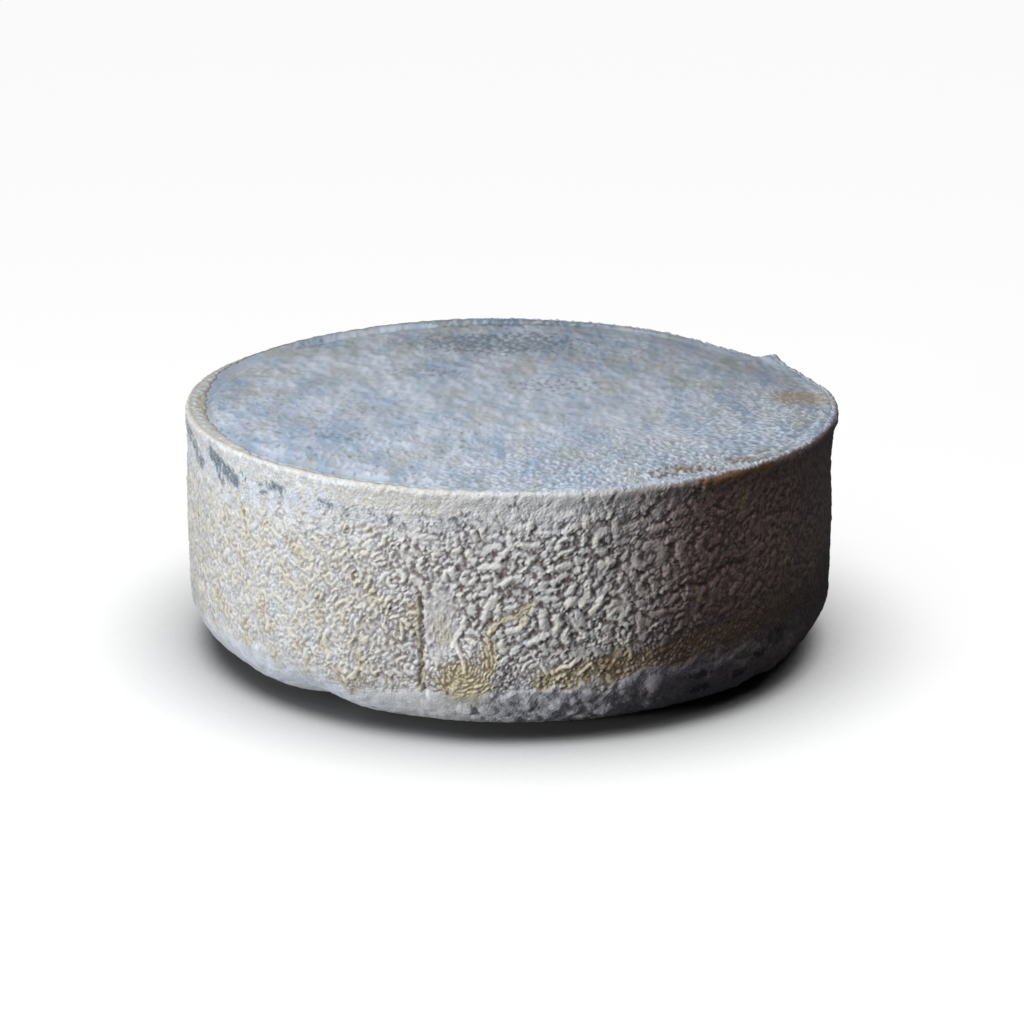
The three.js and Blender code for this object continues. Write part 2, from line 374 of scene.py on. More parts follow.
def rim_sag(bearing):
    """How far the rim hangs below its plain height."""
    return sum(drop * bell(bearing_gap(at, bearing), spread) for at, spread, drop in RIM_SAGS)


def ring_strength(bearing):
    """The raised ring stands clear on the left and fades into the top on the right."""
    return 1.0 - 0.8 * smoothstep(np.abs(bearing_gap(-95, bearing)), 60, 110)


def side_flush(bearing):
    """The side stands back from the rim on the right and is flush with it on the left."""
    return SIDE_INSET * (0.5 - 0.5 * np.sin(np.radians(bearing)))


def heel_dent(bearing, z):
    """1 in the middle of the dent in the heel, fading to its sides and its top."""
    low = 1.0 - smoothstep(z, DENT["top"] * 0.4, DENT["top"] * 1.3)
    return low * bell(bearing_gap(DENT["bearing"], bearing), DENT["spread"])


def rim_hollow(bearing, z):
    """Depth of the shallow hollows under the rim."""
    return sum(
        depth * bell(bearing_gap(at, bearing), spread) * bell(z - height, reach)
        for at, spread, height, reach, depth in RIM_HOLLOWS
    )


def crease_depth(bearing, z):
    """Depth of the upright crease left of the smooth patch, which wavers as it runs down."""
    bottom, top = CREASE["bottom"], CREASE["top"]
    upright = window(z, bottom - 4, bottom + 4, top - 5, top + 3)
    waver = 0.5 * np.sin(z / 4.1) + 0.35 * np.sin(z / 1.9 + 1.0)
    aside = arc_gap(CREASE["bearing"], bearing) + waver
    return CREASE["depth"] * upright * bell(aside, CREASE["half_width"])


def crack_depth(bearing, z):
    """Depth of the long slanting crack of the right front."""
    (start_bearing, start_z), (end_bearing, end_z) = CRACK["start"], CRACK["end"]
    run, rise = arc_gap(start_bearing, end_bearing), end_z - start_z
    length = math.hypot(run, rise)
    across = arc_gap(start_bearing, bearing)
    along = (across * run + (z - start_z) * rise) / length
    aside = (across * rise - (z - start_z) * run) / length + 1.6 * np.sin(along / 3.4)
    ends = window(along, -4, 4, length - 4, length + 4)
    return CRACK["depth"] * ends * bell(aside, CRACK["half_width"])


def side_form(bearing, z):
    """How far the side stands out from the plain wheel, without its wrinkles."""
    out = MOUND["height"] * oval(bearing, z, MOUND)
    out = out - rim_hollow(bearing, z) - crease_depth(bearing, z) - crack_depth(bearing, z)
    for waves, upright, height, turn in SIDE_SWELLS:
        out = out + height * np.cos(waves * np.radians(bearing) + 2 * np.pi * upright * z / 1000 + turn)
    return out


def top_form(x, y):
    """How far the top stands up from a plain disc."""
    return sum(
        height * np.cos(2 * np.pi * (along_x * x + along_y * y) / 1000 + turn)
        for along_x, along_y, height, turn in TOP_SWELLS
    )


def top_surface(x, y):
    """Height of the smooth top at a place inside the crest of the rim."""
    radius = np.hypot(x, y)
    bearing = np.degrees(np.arctan2(x, -y))
    ring_middle = lerp(CREST_RADIUS, GROOVE_RADIUS, 0.5)
    height = lerp(TOP_HEIGHT, WHEEL_HEIGHT, smoothstep(radius, GROOVE_RADIUS, ring_middle))
    inside_ring = 1.0 - smoothstep(radius, GROOVE_RADIUS - 4, GROOVE_RADIUS)
    groove = bell(radius - GROOVE_RADIUS, 2.5) * RING_GROOVE * ring_strength(bearing)
    rim_share = smoothstep(radius, WHEEL_RADIUS - 30, CREST_RADIUS)
    knob = bell(bearing_gap(KNOB["bearing"], bearing), KNOB["spread"])
    lifted = (KNOB["up"] * knob - rim_sag(bearing)) * rim_share
    return height + top_form(x, y) * inside_ring - groove + lifted


# ---------------------------------------------------------------- the rind's section


def wheel_section():
    """The rind's section from under the heel, up the side and over the rim to inside the ring."""
    turn = np.linspace(0, np.pi / 2, 240)
    heel_r = BASE_RADIUS + HEEL_REACH * np.sin(turn) ** (2 / HEEL_POWER)
    heel_z = HEEL_HEIGHT * (1 - np.abs(np.cos(turn)) ** (2 / HEEL_POWER))
    side_top = WHEEL_HEIGHT - RIM_BAND
    side_z = np.linspace(HEEL_HEIGHT, side_top, 80)[1:]
    swell_z = np.linspace(side_top, WHEEL_HEIGHT - RIM_ROUND, 30)[1:]
    swell_r = SIDE_RADIUS + SIDE_INSET * smoothstep(swell_z, side_top, WHEEL_HEIGHT - RIM_ROUND)
    arc_r = CREST_RADIUS + RIM_ROUND * np.cos(turn[::6][1:])
    arc_z = WHEEL_HEIGHT - RIM_ROUND * (1 - np.sin(turn[::6][1:]))
    ring_r = np.linspace(CREST_RADIUS, GROOVE_RADIUS - 5, 60)[1:]
    r = np.concatenate([[BASE_RADIUS - 5], heel_r, np.full(len(side_z), SIDE_RADIUS), swell_r, arc_r, ring_r])
    z = np.concatenate([[0.7], heel_z, side_z, swell_z, arc_z, np.full(len(ring_r), WHEEL_HEIGHT)])
    along = np.concatenate([[0.0], np.cumsum(np.hypot(np.diff(r), np.diff(z)))])
    crest = along[len(r) - len(ring_r) - 1]
    unrolled = np.where(along <= crest, z, WHEEL_HEIGHT + along - crest)
    return {"along": along, "r": r, "z": z, "unrolled": unrolled, "crest": crest}


SECTION = wheel_section()
SECTION_LENGTH = float(SECTION["along"][-1])
MAP_ROWS = int(SECTION_LENGTH / CELL) + 2


def section_at(along, what):
    """Radius, height or unrolled height at a length along the section."""
    return np.interp(along, SECTION["along"], SECTION[what])


def mat_edge(bearing):
    """Radius where the mould mat of the top meets the ring, ragged on the right."""
    turn = np.radians(bearing)
    ragged = 0.5 * np.sin(23 * turn + 1.0) + 0.45 * np.sin(57 * turn) + 0.4 * np.sin(131 * turn + 2.0)
    edge = round_the_wheel(bearing, MAT_EDGES, 1) + ragged * (1.0 - 0.4 * ring_strength(bearing))
    return np.minimum(edge, MAT_REACH)


def rind_point(bearing, along, relief):
    """Places on the finished rind for bearings and lengths along the section."""
    r, z = section_at(along, "r"), section_at(along, "z")
    step = 0.3
    slope_r = section_at(along + step, "r") - section_at(along - step, "r")
    slope_z = section_at(along + step, "z") - section_at(along - step, "z")
    length = np.hypot(slope_r, slope_z)
    normal_r, normal_z = slope_z / length, -slope_r / length
    past_crest = along > SECTION["crest"]

    clear_of_base = smoothstep(z, 0, 9)
    below_crest = 1.0 - smoothstep(z, WHEEL_HEIGHT - RIM_ROUND, WHEEL_HEIGHT)
    below_rim = 1.0 - smoothstep(z, WHEEL_HEIGHT - RIM_BAND, WHEEL_HEIGHT - RIM_ROUND)
    push = side_form(bearing, z) * clear_of_base * below_crest
    steep = np.minimum(1.0, z / HEEL_HEIGHT)
    out = push * np.sqrt(steep) + side_flush(bearing) * clear_of_base * below_rim
    up = -push * (1.0 - steep)
    dent = heel_dent(bearing, z)
    out = out - DENT["inward"] * dent
    up = up + DENT["upward"] * dent
    knob = bell(bearing_gap(KNOB["bearing"], bearing), KNOB["spread"])
    near_top = smoothstep(z, WHEEL_HEIGHT * 0.8, WHEEL_HEIGHT)
    rim_share = near_top * smoothstep(r, WHEEL_RADIUS - 30, CREST_RADIUS)
    out = out + KNOB["out"] * knob * rim_share
    up = up + (KNOB["up"] * knob - rim_sag(bearing)) * rim_share

    turn = np.radians(bearing)
    on_top = top_surface(r * np.sin(turn), -r * np.cos(turn))
    dip = 1.6 * smoothstep(mat_edge(bearing) - r, -0.3, 1.5)
    z_plain = np.where(past_crest, on_top - dip, z + up)
    r_plain = np.where(past_crest, r, r + out)
    fine = relief * np.where(past_crest, 1.0, smoothstep(z, 0, 5))
    r_done, z_done = r_plain + normal_r * fine, z_plain + normal_z * fine
    return np.stack([r_done * np.sin(turn), -r_done * np.cos(turn), z_done], axis=-1)


# ---------------------------------------------------------------- maps


def waves(shape):
    """Waves per millimetre of each term of a map's Fourier transform."""
    rows = np.fft.fftfreq(shape[0], CELL)[:, None]
    columns = np.fft.rfftfreq(shape[1], CELL)[None, :]
    return rows, columns


def blurred(field, size):
    """A map softened over a size in millimetres."""
    rows, columns = waves(field.shape)
    keep = np.exp(-2.0 * (np.pi * size) ** 2 * (rows ** 2 + columns ** 2))
    return np.fft.irfft2(np.fft.rfft2(field) * keep, s=field.shape)


def grain(rng, shape, size, stretch=1.0, turn=90.0, spread=0.5):
    """Even random unevenness of one size in millimetres, about -2 to 2, stretched along a turn in degrees."""
    rows, columns = waves(shape)
    turn = math.radians(turn)
    along = columns * math.cos(turn) + rows * math.sin(turn)
    across = rows * math.cos(turn) - columns * math.sin(turn)
    rate = np.hypot(along * stretch, across)
    rate[0, 0] = 1.0
    keep = np.exp(-(np.log(rate * size) ** 2) / (2 * spread ** 2))
    keep[0, 0] = 0.0
    field = np.fft.irfft2(np.fft.rfft2(rng.standard_normal(shape)) * keep, s=shape)
    return field / field.std()


def sample(field, row, column):
    """Values of a map between its cells, wrapping round the wheel."""
    row = np.clip(row, 0, field.shape[0] - 1.001)
    i, j = np.floor(row).astype(int), np.floor(column).astype(int)
    down, right = row - i, column - j
    left_column, right_column = j % field.shape[1], (j + 1) % field.shape[1]
    upper = field[i, left_column] * (1 - right) + field[i, right_column] * right
    lower = field[i + 1, left_column] * (1 - right) + field[i + 1, right_column] * right
    return upper * (1 - down) + lower * down


def disc_offsets(radius):
    """Cells within a radius, in cells, of a middle one."""
    reach = int(math.ceil(radius))
    rows, columns = np.mgrid[-reach:reach + 1, -reach:reach + 1]
    inside = rows ** 2 + columns ** 2 <= radius ** 2
    return rows[inside], columns[inside]


def take_room(taken, x, y, wide, spacing, discs):
    """Marks the cells that a stroke keeps to itself."""
    size = round(spacing * wide / CELL, 1)
    if size not in discs:
        discs[size] = disc_offsets(size)
    down, right = discs[size]
    i, j = np.clip(y.astype(int), 0, taken.shape[0] - 1), x.astype(int)
    taken[np.clip(i[:, None] + down, 0, taken.shape[0] - 1), (j[:, None] + right) % taken.shape[1]] = True


def scatter_strokes(rng, tries, lay, share_of_width, spacing, taken):
    """Short bent strokes thrown at random, each kept clear of the ones before it.

    lay holds, for each cell, a stroke's half width, its shortest and longest length in half widths,
    its lean and the fan about it, and how much it curls in all places alike and at random.
    """
    rows, columns = taken.shape
    free = np.flatnonzero(~taken)
    places = np.column_stack(np.divmod(rng.choice(free, tries), columns)).tolist()
    chances = rng.random((tries, 2)).tolist()
    bends = rng.normal(size=(tries, 3)).tolist()
    discs = {}
    strokes = []
    for (row, column), (chance_length, chance_turn), (vary, bend, lift) in zip(places, chances, bends):
        if taken[row, column]:
            continue
        half_width, shortest, longest, lean, fan, curl, waver = lay[:, row, column].tolist()
        wide = half_width * share_of_width * math.exp(0.16 * vary)
        if wide <= 0.2:
            continue
        reach = lerp(shortest, longest, chance_length) * wide
        points = max(1, int(reach / (STROKE_STEP * CELL)) + 1)
        along = (np.arange(points) - (points - 1) / 2) * STROKE_STEP
        heading = lean + (chance_turn - 0.5) * fan + (curl + waver * bend) * along * CELL
        x = column + np.cumsum(np.cos(heading)) * STROKE_STEP
        y = row + np.cumsum(np.sin(heading)) * STROKE_STEP
        if taken[np.clip(y.astype(int), 0, rows - 1), x.astype(int) % columns].any():
            continue
        take_room(taken, x, y, wide, spacing, discs)
        strokes.append((x, y, wide, lift))
    return strokes


def laid_strokes(rolls, spacing, taken):
    """Strokes along the listed rolls."""
    rim = np.argmax(SECTION["unrolled"] > WHEEL_HEIGHT)
    strokes = []
    for wide, places in rolls:
        bearing, z = np.array(places).T
        x = bearing / 360.0 * MAP_COLUMNS
        y = np.interp(z, SECTION["z"][:rim], SECTION["along"][:rim]) / CELL
        length = np.concatenate([[0.0], np.cumsum(np.hypot(np.diff(x), np.diff(y)))])
        at = np.arange(0.0, length[-1], STROKE_STEP)
        sway = 0.8 * np.sin(at / 5.0 + bearing[0])
        x, y = np.interp(at, length, x) + sway, np.interp(at, length, y)
        take_room(taken, x, y, wide, spacing, {})
        strokes.append((x, y, wide, 0.4))
    return strokes


def raise_strokes(strokes, width, fullness, uneven, bend_rows, bend_columns):
    """Rolls laid side by side: their height, 0 in the creases and about 1 on top, and each one's tone.

    fullness is a roll's drawn width against the room it keeps.
    """
    rows, columns = width.shape
    relief = np.zeros((rows, columns))
    tone = np.zeros((rows, columns))
    for x, y, wide, lift in strokes:
        full = fullness[min(rows - 1, max(0, int(y[0]))), int(x[0]) % columns] * wide
        reach = int((full + 1.2) / CELL) + 1
        i = np.arange(max(0, int(y.min()) - reach), min(rows, int(y.max()) + reach + 1))
        j = np.arange(int(x.min()) - reach, int(x.max()) + reach + 1)
        window = np.ix_(i, j % columns)
        place_x = j[None, :] + bend_columns[window]
        place_y = i[:, None] + bend_rows[window]
        gaps = (place_x - x[:, None, None]) ** 2 + (place_y - y[:, None, None]) ** 2
        near = np.sqrt(gaps.min(axis=0)) * CELL / full
        tall = (wide / width[window]) ** 0.6 * (1.0 + uneven * lift)
        height = tall * np.clip(1.0 - near ** 2, 0, None) ** 0.55
        higher = height > relief[window]
        tone[window] = np.where(higher, lift, tone[window])
        relief[window] = np.where(higher, height, relief[window])
    return relief, tone


def line_mask(bearing, z, points, half_width):
    """1 along a line through places given as bearing and height, fading to its sides."""
    nearest = np.full(np.broadcast(bearing, z).shape, 1e6)
    for (b0, z0), (b1, z1) in zip(points, points[1:]):
        run, rise = arc_gap(b0, b1), z1 - z0
        across, upward = arc_gap(b0, bearing), z - z0
        share = np.clip((across * run + upward * rise) / (run * run + rise * rise), 0, 1)
        nearest = np.minimum(nearest, np.hypot(across - share * run, upward - share * rise))
    return 1.0 - smoothstep(nearest, half_width * 0.4, half_width * 1.4)


def spots_mask(bearing, z, spots):
    """Soft ovals given as bearing, height, half width, half height and strength."""
    mask = np.zeros(np.broadcast(bearing, z).shape)
    for at, height, half_width, half_height, strength in spots:
        spot = {"bearing": at, "z": height, "half_width": half_width, "half_height": half_height}
        mask = np.maximum(mask, strength * oval(bearing, z, spot, 0.3, 1.3))
    return mask


def threshold(mask, noise, share=0.55):
    """Breaks a soft mask into mottled blotches, fuller where the mask is stronger."""
    return smoothstep(mask * 1.5 + noise * 0.28, share, share + 0.4) * np.clip(mask * 4, 0, 1)


# ---------------------------------------------------------------- the rind's relief and masks


def lines_mask(side, lines):
    """The fullest of soft lines, each given as its places, half width and strength."""
    return reduce(np.maximum, (
        strength * line_mask(side.bearing, side.z, places, half) for places, half, strength in lines))


def side_zones(rng):
    """The unrolled side: its places, and where each kind of surface lies on it."""
    side = SimpleNamespace(shape=(MAP_ROWS, MAP_COLUMNS))
    side.bearing = (np.arange(MAP_COLUMNS) * 360.0 / MAP_COLUMNS)[None, :]
    side.gap = bearing_gap(0, side.bearing)
    side.along = (np.arange(MAP_ROWS) * CELL)[:, None]
    side.z = section_at(side.along, "unrolled")
    side.wander = grain(rng, side.shape, 22, spread=0.6)
    edge = side.z + 1.6 * side.wander + 0.9 * grain(rng, side.shape, 7)
    ragged_head = edge + 3.5 * grain(rng, side.shape, 11)

    # Large regions: left, right, and the heights where one kind of surface turns into the next
    side.turned_left = smoothstep(-side.gap, 12, 30) * smoothstep(side.gap, -175, -120)
    side.left = smoothstep(np.sin(np.radians(-side.bearing)), -0.1, 0.35)
    side.right = smoothstep(np.sin(np.radians(side.bearing - 6)), 0.0, 0.52)
    front = smoothstep(np.cos(np.radians(side.bearing - 18)), 0.55, 0.9)
    # Front and right: here the creases take the brown crease colour, partly brown rind and partly painted
    # shade where the key light grazes or misses the side
    side.brown_crease_in_shade = np.maximum(front, side.right) + np.zeros(side.shape)
    pebble_top = round_the_wheel(side.bearing, FOOT_ZONES, 1)
    foot_top = round_the_wheel(side.bearing, FOOT_ZONES, 2)
    head = round_the_wheel(side.bearing, WRINKLE_ZONES, 3)
    side.coarse = smoothstep(edge, pebble_top - 3, pebble_top + 4)
    foot_ends, wrinkles_start = lerp(3, 9, side.turned_left), lerp(2.5, 6, side.turned_left)
    side.above_foot = smoothstep(edge, foot_top - foot_ends, foot_top + wrinkles_start)
    side.below_head = 1.0 - smoothstep(ragged_head, head - 13, head + 7)

    # Small ones: the cap with its limb and pad, the smooth patch, the fine ridges
    side.pad = spots_mask(side.bearing, side.z, [PAD])
    limb = line_mask(side.bearing, side.z, LIMB, LIMB_HALF_WIDTH)
    cap = np.maximum(oval(side.bearing, side.z + 0.5 * side.wander, CAP, 0.85, 1.06), limb)
    side.cap = cap * (1.0 - side.pad)
    side.in_cap = side.cap > 0.45
    side.patch = oval(side.bearing, side.z + side.wander, PATCH, 0.5, 1.2)
    side.fine_ridges = spots_mask(side.bearing, side.z, [FINE_RIDGES])
    return side


def roll_sizes(rng, side):
    """Half width and height of the rolls at each place, and how long they grow there."""
    width = round_the_wheel(side.bearing, WRINKLE_ZONES, 1) * lerp(0.42, 1.0, side.coarse)
    width = width * np.exp(0.14 * side.wander)
    width = lerp(lerp(width, 0.72, side.fine_ridges), 0.6, side.pad)
    width = np.where(side.in_cap, CAP_ROLL, width)
    rise = round_the_wheel(side.bearing, WRINKLE_ZONES, 2) * lerp(0.6, 1.0, side.coarse)
    rise = lerp(lerp(lerp(rise, 0.6, side.fine_ridges), 0.35, side.pad), 0.65, side.cap)
    vary = np.clip(1.0 + 0.3 * grain(rng, side.shape, 14, spread=0.5), 0.3, 1.6)
    rise = rise * np.where(side.in_cap, 1.0, vary)
    rise = rise * lerp(0.05, 1.0, side.above_foot) * lerp(0.2, 1.0, side.below_head)
    rise = rise * (1.0 - 0.85 * side.patch)
    grown = round_the_wheel(side.bearing, WRINKLE_ZONES, 4) * lerp(0.28, 1.0, side.coarse)
    return width, rise, np.where(side.in_cap, 1.0, grown)


def roll_turns(side, width):
    """Lean of the rolls, the fan about it, and how they curl in all places alike and at random.

    In the cap the fine rolls lie round its foot, and they stand upright in its limb.
    """
    about, about_z = CAP_TURNS_ABOUT
    across, upward = arc_gap(about, side.bearing), side.z - about_z
    upright = spots_mask(side.bearing, side.z, UPRIGHT_ROLLS) > 0.4
    lean = lerp(1.05, np.pi / 2, side.turned_left) + np.zeros(side.shape)
    lean = np.where(upright, np.pi / 2, lean)
    lean = np.where(side.in_cap, np.arctan2(across, -upward), lean)
    fan = lerp(2.4, np.pi, smoothstep(np.abs(bearing_gap(8, side.bearing)), 18, 40)) + np.zeros(side.shape)
    fan = lerp(fan, 2.1, side.turned_left)
    fan = np.where(side.in_cap, 0.55, np.where(upright, 0.9, fan))
    curl = np.where(side.in_cap, 1.0 / np.clip(np.hypot(across, upward), 6, None), 0.0)
    waver = np.where(side.in_cap, 0.1, 0.36 / np.maximum(width, 0.9))
    return [lean, fan, curl, waver]


def raise_rolls(rng, side):
    """Covers the side with rolls: their relief, the share of its height that a place has, their tones."""
    width, rise, grown = roll_sizes(rng, side)
    side.turns = roll_turns(side, width)
    lay = np.stack([width, 2.0 * grown, 6.5 * grown] + side.turns)
    taken = np.zeros(side.shape, bool)
    strokes = laid_strokes(PALE_ROLLS + OCHRE_ROLLS, 1.35, taken)
    outside = ~side.in_cap | taken
    for share_of_width in (1.0, 0.75, 0.55):
        strokes += scatter_strokes(rng, 5000, lay, share_of_width, 1.8, outside)
    taken |= side.in_cap
    for tries, share_of_width, shortest, longest, spacing in STROKE_PASSES:
        lay[1], lay[2] = shortest * grown, longest * grown
        strokes += scatter_strokes(rng, tries, lay, share_of_width, spacing, taken)

    bend = 0.2 * width / CELL
    side.bends = [grain(rng, side.shape, 3.2) * bend for _ in ("rows", "columns")]
    full = lerp(1.14, 1.08, side.brown_crease_in_shade)
    rolls, side.tone = raise_strokes(strokes, width, full, 0.14, *side.bends)
    crumbs = smoothstep(grain(rng, side.shape, 2.4, stretch=1.4, spread=0.22), -0.4, 1.1) * ~side.in_cap
    rolls = np.maximum(rolls, lerp(lerp(0.4, 0.55, side.turned_left), 0.2, side.right) * crumbs)
    rolls = np.maximum(rolls, lerp(0.14, 0.22, side.turned_left)) ** lerp(1.0, 0.7, side.right)
    side.relief = blurred(rise * (rolls - 0.6), 0.15)
    share = np.clip(blurred(rolls, 0.13), 0, 1)
    rolled = np.clip(side.above_foot * side.below_head * (1.0 - 0.8 * side.patch), 0, 1)
    side.share = lerp(0.85, share, rolled)


def raise_lumps(rng, side):
    """Soft lumps of bloom at the front foot."""
    side.front_foot = (1.0 - side.above_foot) * smoothstep(np.cos(np.radians(side.bearing - 24)), 0.72, 0.93)
    off_foot = ~(side.front_foot > 0.05)
    still = np.zeros(side.shape)
    lay = np.stack([np.where(off_foot, 0.0, LUMP), still, still + 1.2] + side.turns)
    lumps = scatter_strokes(rng, 2500, lay, 1.0, 1.3, off_foot)
    lumps += scatter_strokes(rng, 6000, lay, 0.55, 1.4, off_foot)
    lumps, _ = raise_strokes(lumps, still + LUMP, still + 1.25, 0.45, *(2.2 * bend for bend in side.bends))

    swell = side.front_foot * smoothstep(side.z, 3, 12)
    low_right = smoothstep(side.gap, 12, 30)
    height = lerp(1.1, 0.75, low_right) + 0.2 * side.wander
    side.relief = side.relief + height * blurred(lumps, 0.42) * swell
    soft = blurred(lumps, 0.3)
    # Low between the lumps, so that the ground between them takes painted crease shade
    side.share = lerp(side.share, np.clip(soft + 0.3, 0, 1), 0.6 * swell)
    # Painted highlights on the tops of the lumps
    side.lump_tops = smoothstep(soft, 0.45, 1.0) * swell * (1.0 - 0.6 * low_right)


def roughen(rng, side):
    """Faint unevenness all over, streaks in the smooth patch, and grit, most of it under the rim."""
    faint = 0.1 * grain(rng, side.shape, 9) * (1.0 - side.patch)
    streaks = 0.1 * grain(rng, side.shape, 1.5, stretch=3.5) + 0.1 * grain(rng, side.shape, 4, stretch=2)
    side.grit = grain(rng, side.shape, 1.4, spread=0.45)
    side.under_rim = bell(side.z - 94, 9)
    gritty = 0.035 + 0.05 * side.under_rim + 0.04 * side.front_foot
    side.relief = side.relief + faint + side.patch * streaks + gritty * side.grit


def mould_mask(side):
    """Mould in streaks under the rim and in blotches low on the side, broken up by its own grain."""
    mould = np.maximum(spots_mask(side.bearing, side.z, MOULD_SPOTS), lines_mask(side, MOULD_STREAKS))
    uneven = 1.2 * mould + 0.3 * side.smears + 0.12 * side.fine_mottle
    mould = smoothstep(uneven, 0.35, lerp(1.35, 0.95, side.right)) * np.clip(mould * 3, 0, 1)
    return mould * (0.7 + 0.3 * smoothstep(side.fine_mottle + 0.6 * side.grit, -1.0, 0.6))


def ochre_mask(side, past_crest):
    """Ochre yeasts: spots, branches, the low band, the ring on the left and tinted creases."""
    mottle, fine_mottle = side.mottle, side.fine_mottle
    branches = lines_mask(side, [(branch, 1.5, 0.62) for branch in OCHRE_BRANCHES])
    ochre = np.maximum(spots_mask(side.bearing, side.z, OCHRE_SPOTS), branches)
    band = 0.72 * line_mask(side.bearing, side.z, OCHRE_BAND, 7.0) * lerp(0.2, 1.0, side.above_foot)
    ochre = np.maximum(ochre, band)
    ring_yeast = smoothstep(past_crest, 0, 3) * bell(bearing_gap(-84, side.bearing), 26)
    on_ring = smoothstep(past_crest, -3, 1) * (side.z > 90)
    speckles = np.maximum(0.36 * on_ring, 0.37 * bell(side.z - 98, 6)) * side.left
    ochre = np.maximum(ochre, np.maximum(0.56 * ring_yeast, speckles))
    ochre = threshold(ochre, mottle + 0.5 * fine_mottle)
    ochre = np.maximum(ochre, lines_mask(side, [(at, half + 0.5, 0.75) for half, at in OCHRE_ROLLS]))

    # The ring's inner edge and blotches on the ring also lower the share, for their deep tone; on the inner
    # edge, in the groove by the mat, that tone is painted shade
    inner_line = bell(CREST_RADIUS - past_crest - mat_edge(side.bearing) - 0.1, 0.8)
    inner_line = inner_line * ring_strength(side.bearing) * side.left
    blotches = smoothstep(ring_yeast + 0.45 * side.smears + 0.25 * mottle, 0.55, 1.25) * ring_yeast
    ochre = np.maximum(ochre, np.maximum(0.6 * inner_line * smoothstep(mottle, -1.5, 0.5), 0.85 * blotches))
    side.share = lerp(side.share, 0.1, inner_line)
    broken = blotches * smoothstep(fine_mottle + 0.5 * side.smears, -0.2, 1.2)
    side.share = lerp(side.share, 0.25, broken)
    tinted = smoothstep(0.7 * mottle + side.wander, 0.1, 1.6) * (1.0 - side.share) * side.above_foot
    return np.maximum(ochre, 0.9 * tinted * side.turned_left)


def frost_mask(rng, side, past_crest):
    """Mould of the top that hangs over the rim on the right, and lies in the ring elsewhere."""
    hanging = 0.3 * side.wander + 0.45 * side.mottle + 0.4 * side.fine_mottle
    hanging = hanging + 1.6 * bell(bearing_gap(135, side.bearing), 45)
    frost = smoothstep(past_crest + hanging, -1.1, -0.5) * (1.0 - smoothstep(side.left, 0.1, 0.5))
    on_ring = smoothstep(past_crest + 0.5 * side.mottle, 0.4, 1.4) * side.left
    frost = np.maximum(frost, on_ring * (1.0 - ring_strength(side.bearing)))
    side.relief = side.relief + 0.2 * frost * grain(rng, side.shape, 2.8, stretch=1.6, spread=0.5)
    return frost


def rust_mask(rng, side, frost):
    """Rusty growth: a line under the rim, the creases of the low band, and freckles on the right."""
    rust = line_mask(side.bearing, side.z, RUST_LINE, 1.7) * (1.0 - 0.35 * frost)
    band = line_mask(side.bearing, side.z, OCHRE_BAND, 5.0) * smoothstep(side.gap, 8, 18) * side.above_foot
    creases = smoothstep(side.mottle + 0.6 * side.wander - 1.6 * side.share, -1.7, 0.3)
    rust = np.maximum(rust, 0.8 * band * creases)
    freckles = smoothstep(grain(rng, side.shape, 3.0, spread=0.5), 1.5, 2.3)
    freckles = freckles * smoothstep(np.cos(np.radians(side.bearing - 48)), 0.7, 0.9)
    return np.maximum(rust, 0.5 * freckles * side.above_foot)


def cream_mask(rng, side, past_crest, lip):
    """Cream rind: the lip and the ring on the left, the rolls, and the stain of the smooth patch."""
    ring = smoothstep(past_crest, -3, 1)
    cream = np.maximum(0.9 * lip, 0.7 * ring * smoothstep(side.mottle, 0.0, 1.4)) * side.left
    warm = np.clip(0.75 + 0.22 * grain(rng, side.shape, 20, spread=0.6) + 0.1 * side.mottle, 0, 1)
    on_left = smoothstep(np.sin(np.radians(-side.bearing - 8)), 0.0, 0.35)
    body = side.above_foot * side.below_head * lerp(0.4, 0.9, on_left)
    cream = np.maximum(cream, warm * body)
    low = 0.35 * (1 - side.above_foot) * smoothstep(side.wander + 0.4 * side.mottle, 0.6, 1.6)
    cream = np.maximum(cream, low)
    return lerp(cream, 0.3 + 0.6 * spots_mask(side.bearing, side.z, [PATCH_STAIN]), side.patch)


def foot_masks(side):
    """Bloom of the foot: blue-white on the left, whitened as painted light; lilac-grey in front and on the
    right, darkened as painted shade; and painted shade low on the right.
    """
    on_foot = 1.0 - side.above_foot
    # Blue-white bloom of the left foot, whitened as painted light that stands in for light from below
    powder_and_light = window(side.gap, -58, -30, -6, 22) * (0.85 + 0.2 * side.mottle)
    powder_and_light = np.maximum(powder_and_light, 0.4 * side.lump_tops) * on_foot * (1.0 - side.in_cap)
    # Lilac-grey bloom of the front and right foot, darker as painted shade of the foot turned down and from
    # the light
    dusky_and_shade = window(side.gap, -16, 12, 35, 62) * on_foot * (1.0 + 0.35 * side.smears)
    dusky_and_shade = np.maximum(dusky_and_shade * (1.0 - 0.2 * side.lump_tops), 0.4 * window(side.gap, 50, 80, 100, 130))
    # Painted shade low on the right, where side and foot are turned from the light
    shade_low_right = window(side.gap, 6, 36, 90, 130) * (1.0 - smoothstep(side.z + 3 * side.mottle, 30, 60))
    shade_low_right = shade_low_right * lerp(0.96, 1.2, smoothstep(side.gap, 38, 60))
    return {"powder_and_light": np.clip(powder_and_light, 0, 1), "dusky_and_shade": np.clip(dusky_and_shade, 0, 1), "shade_low_right": shade_low_right}


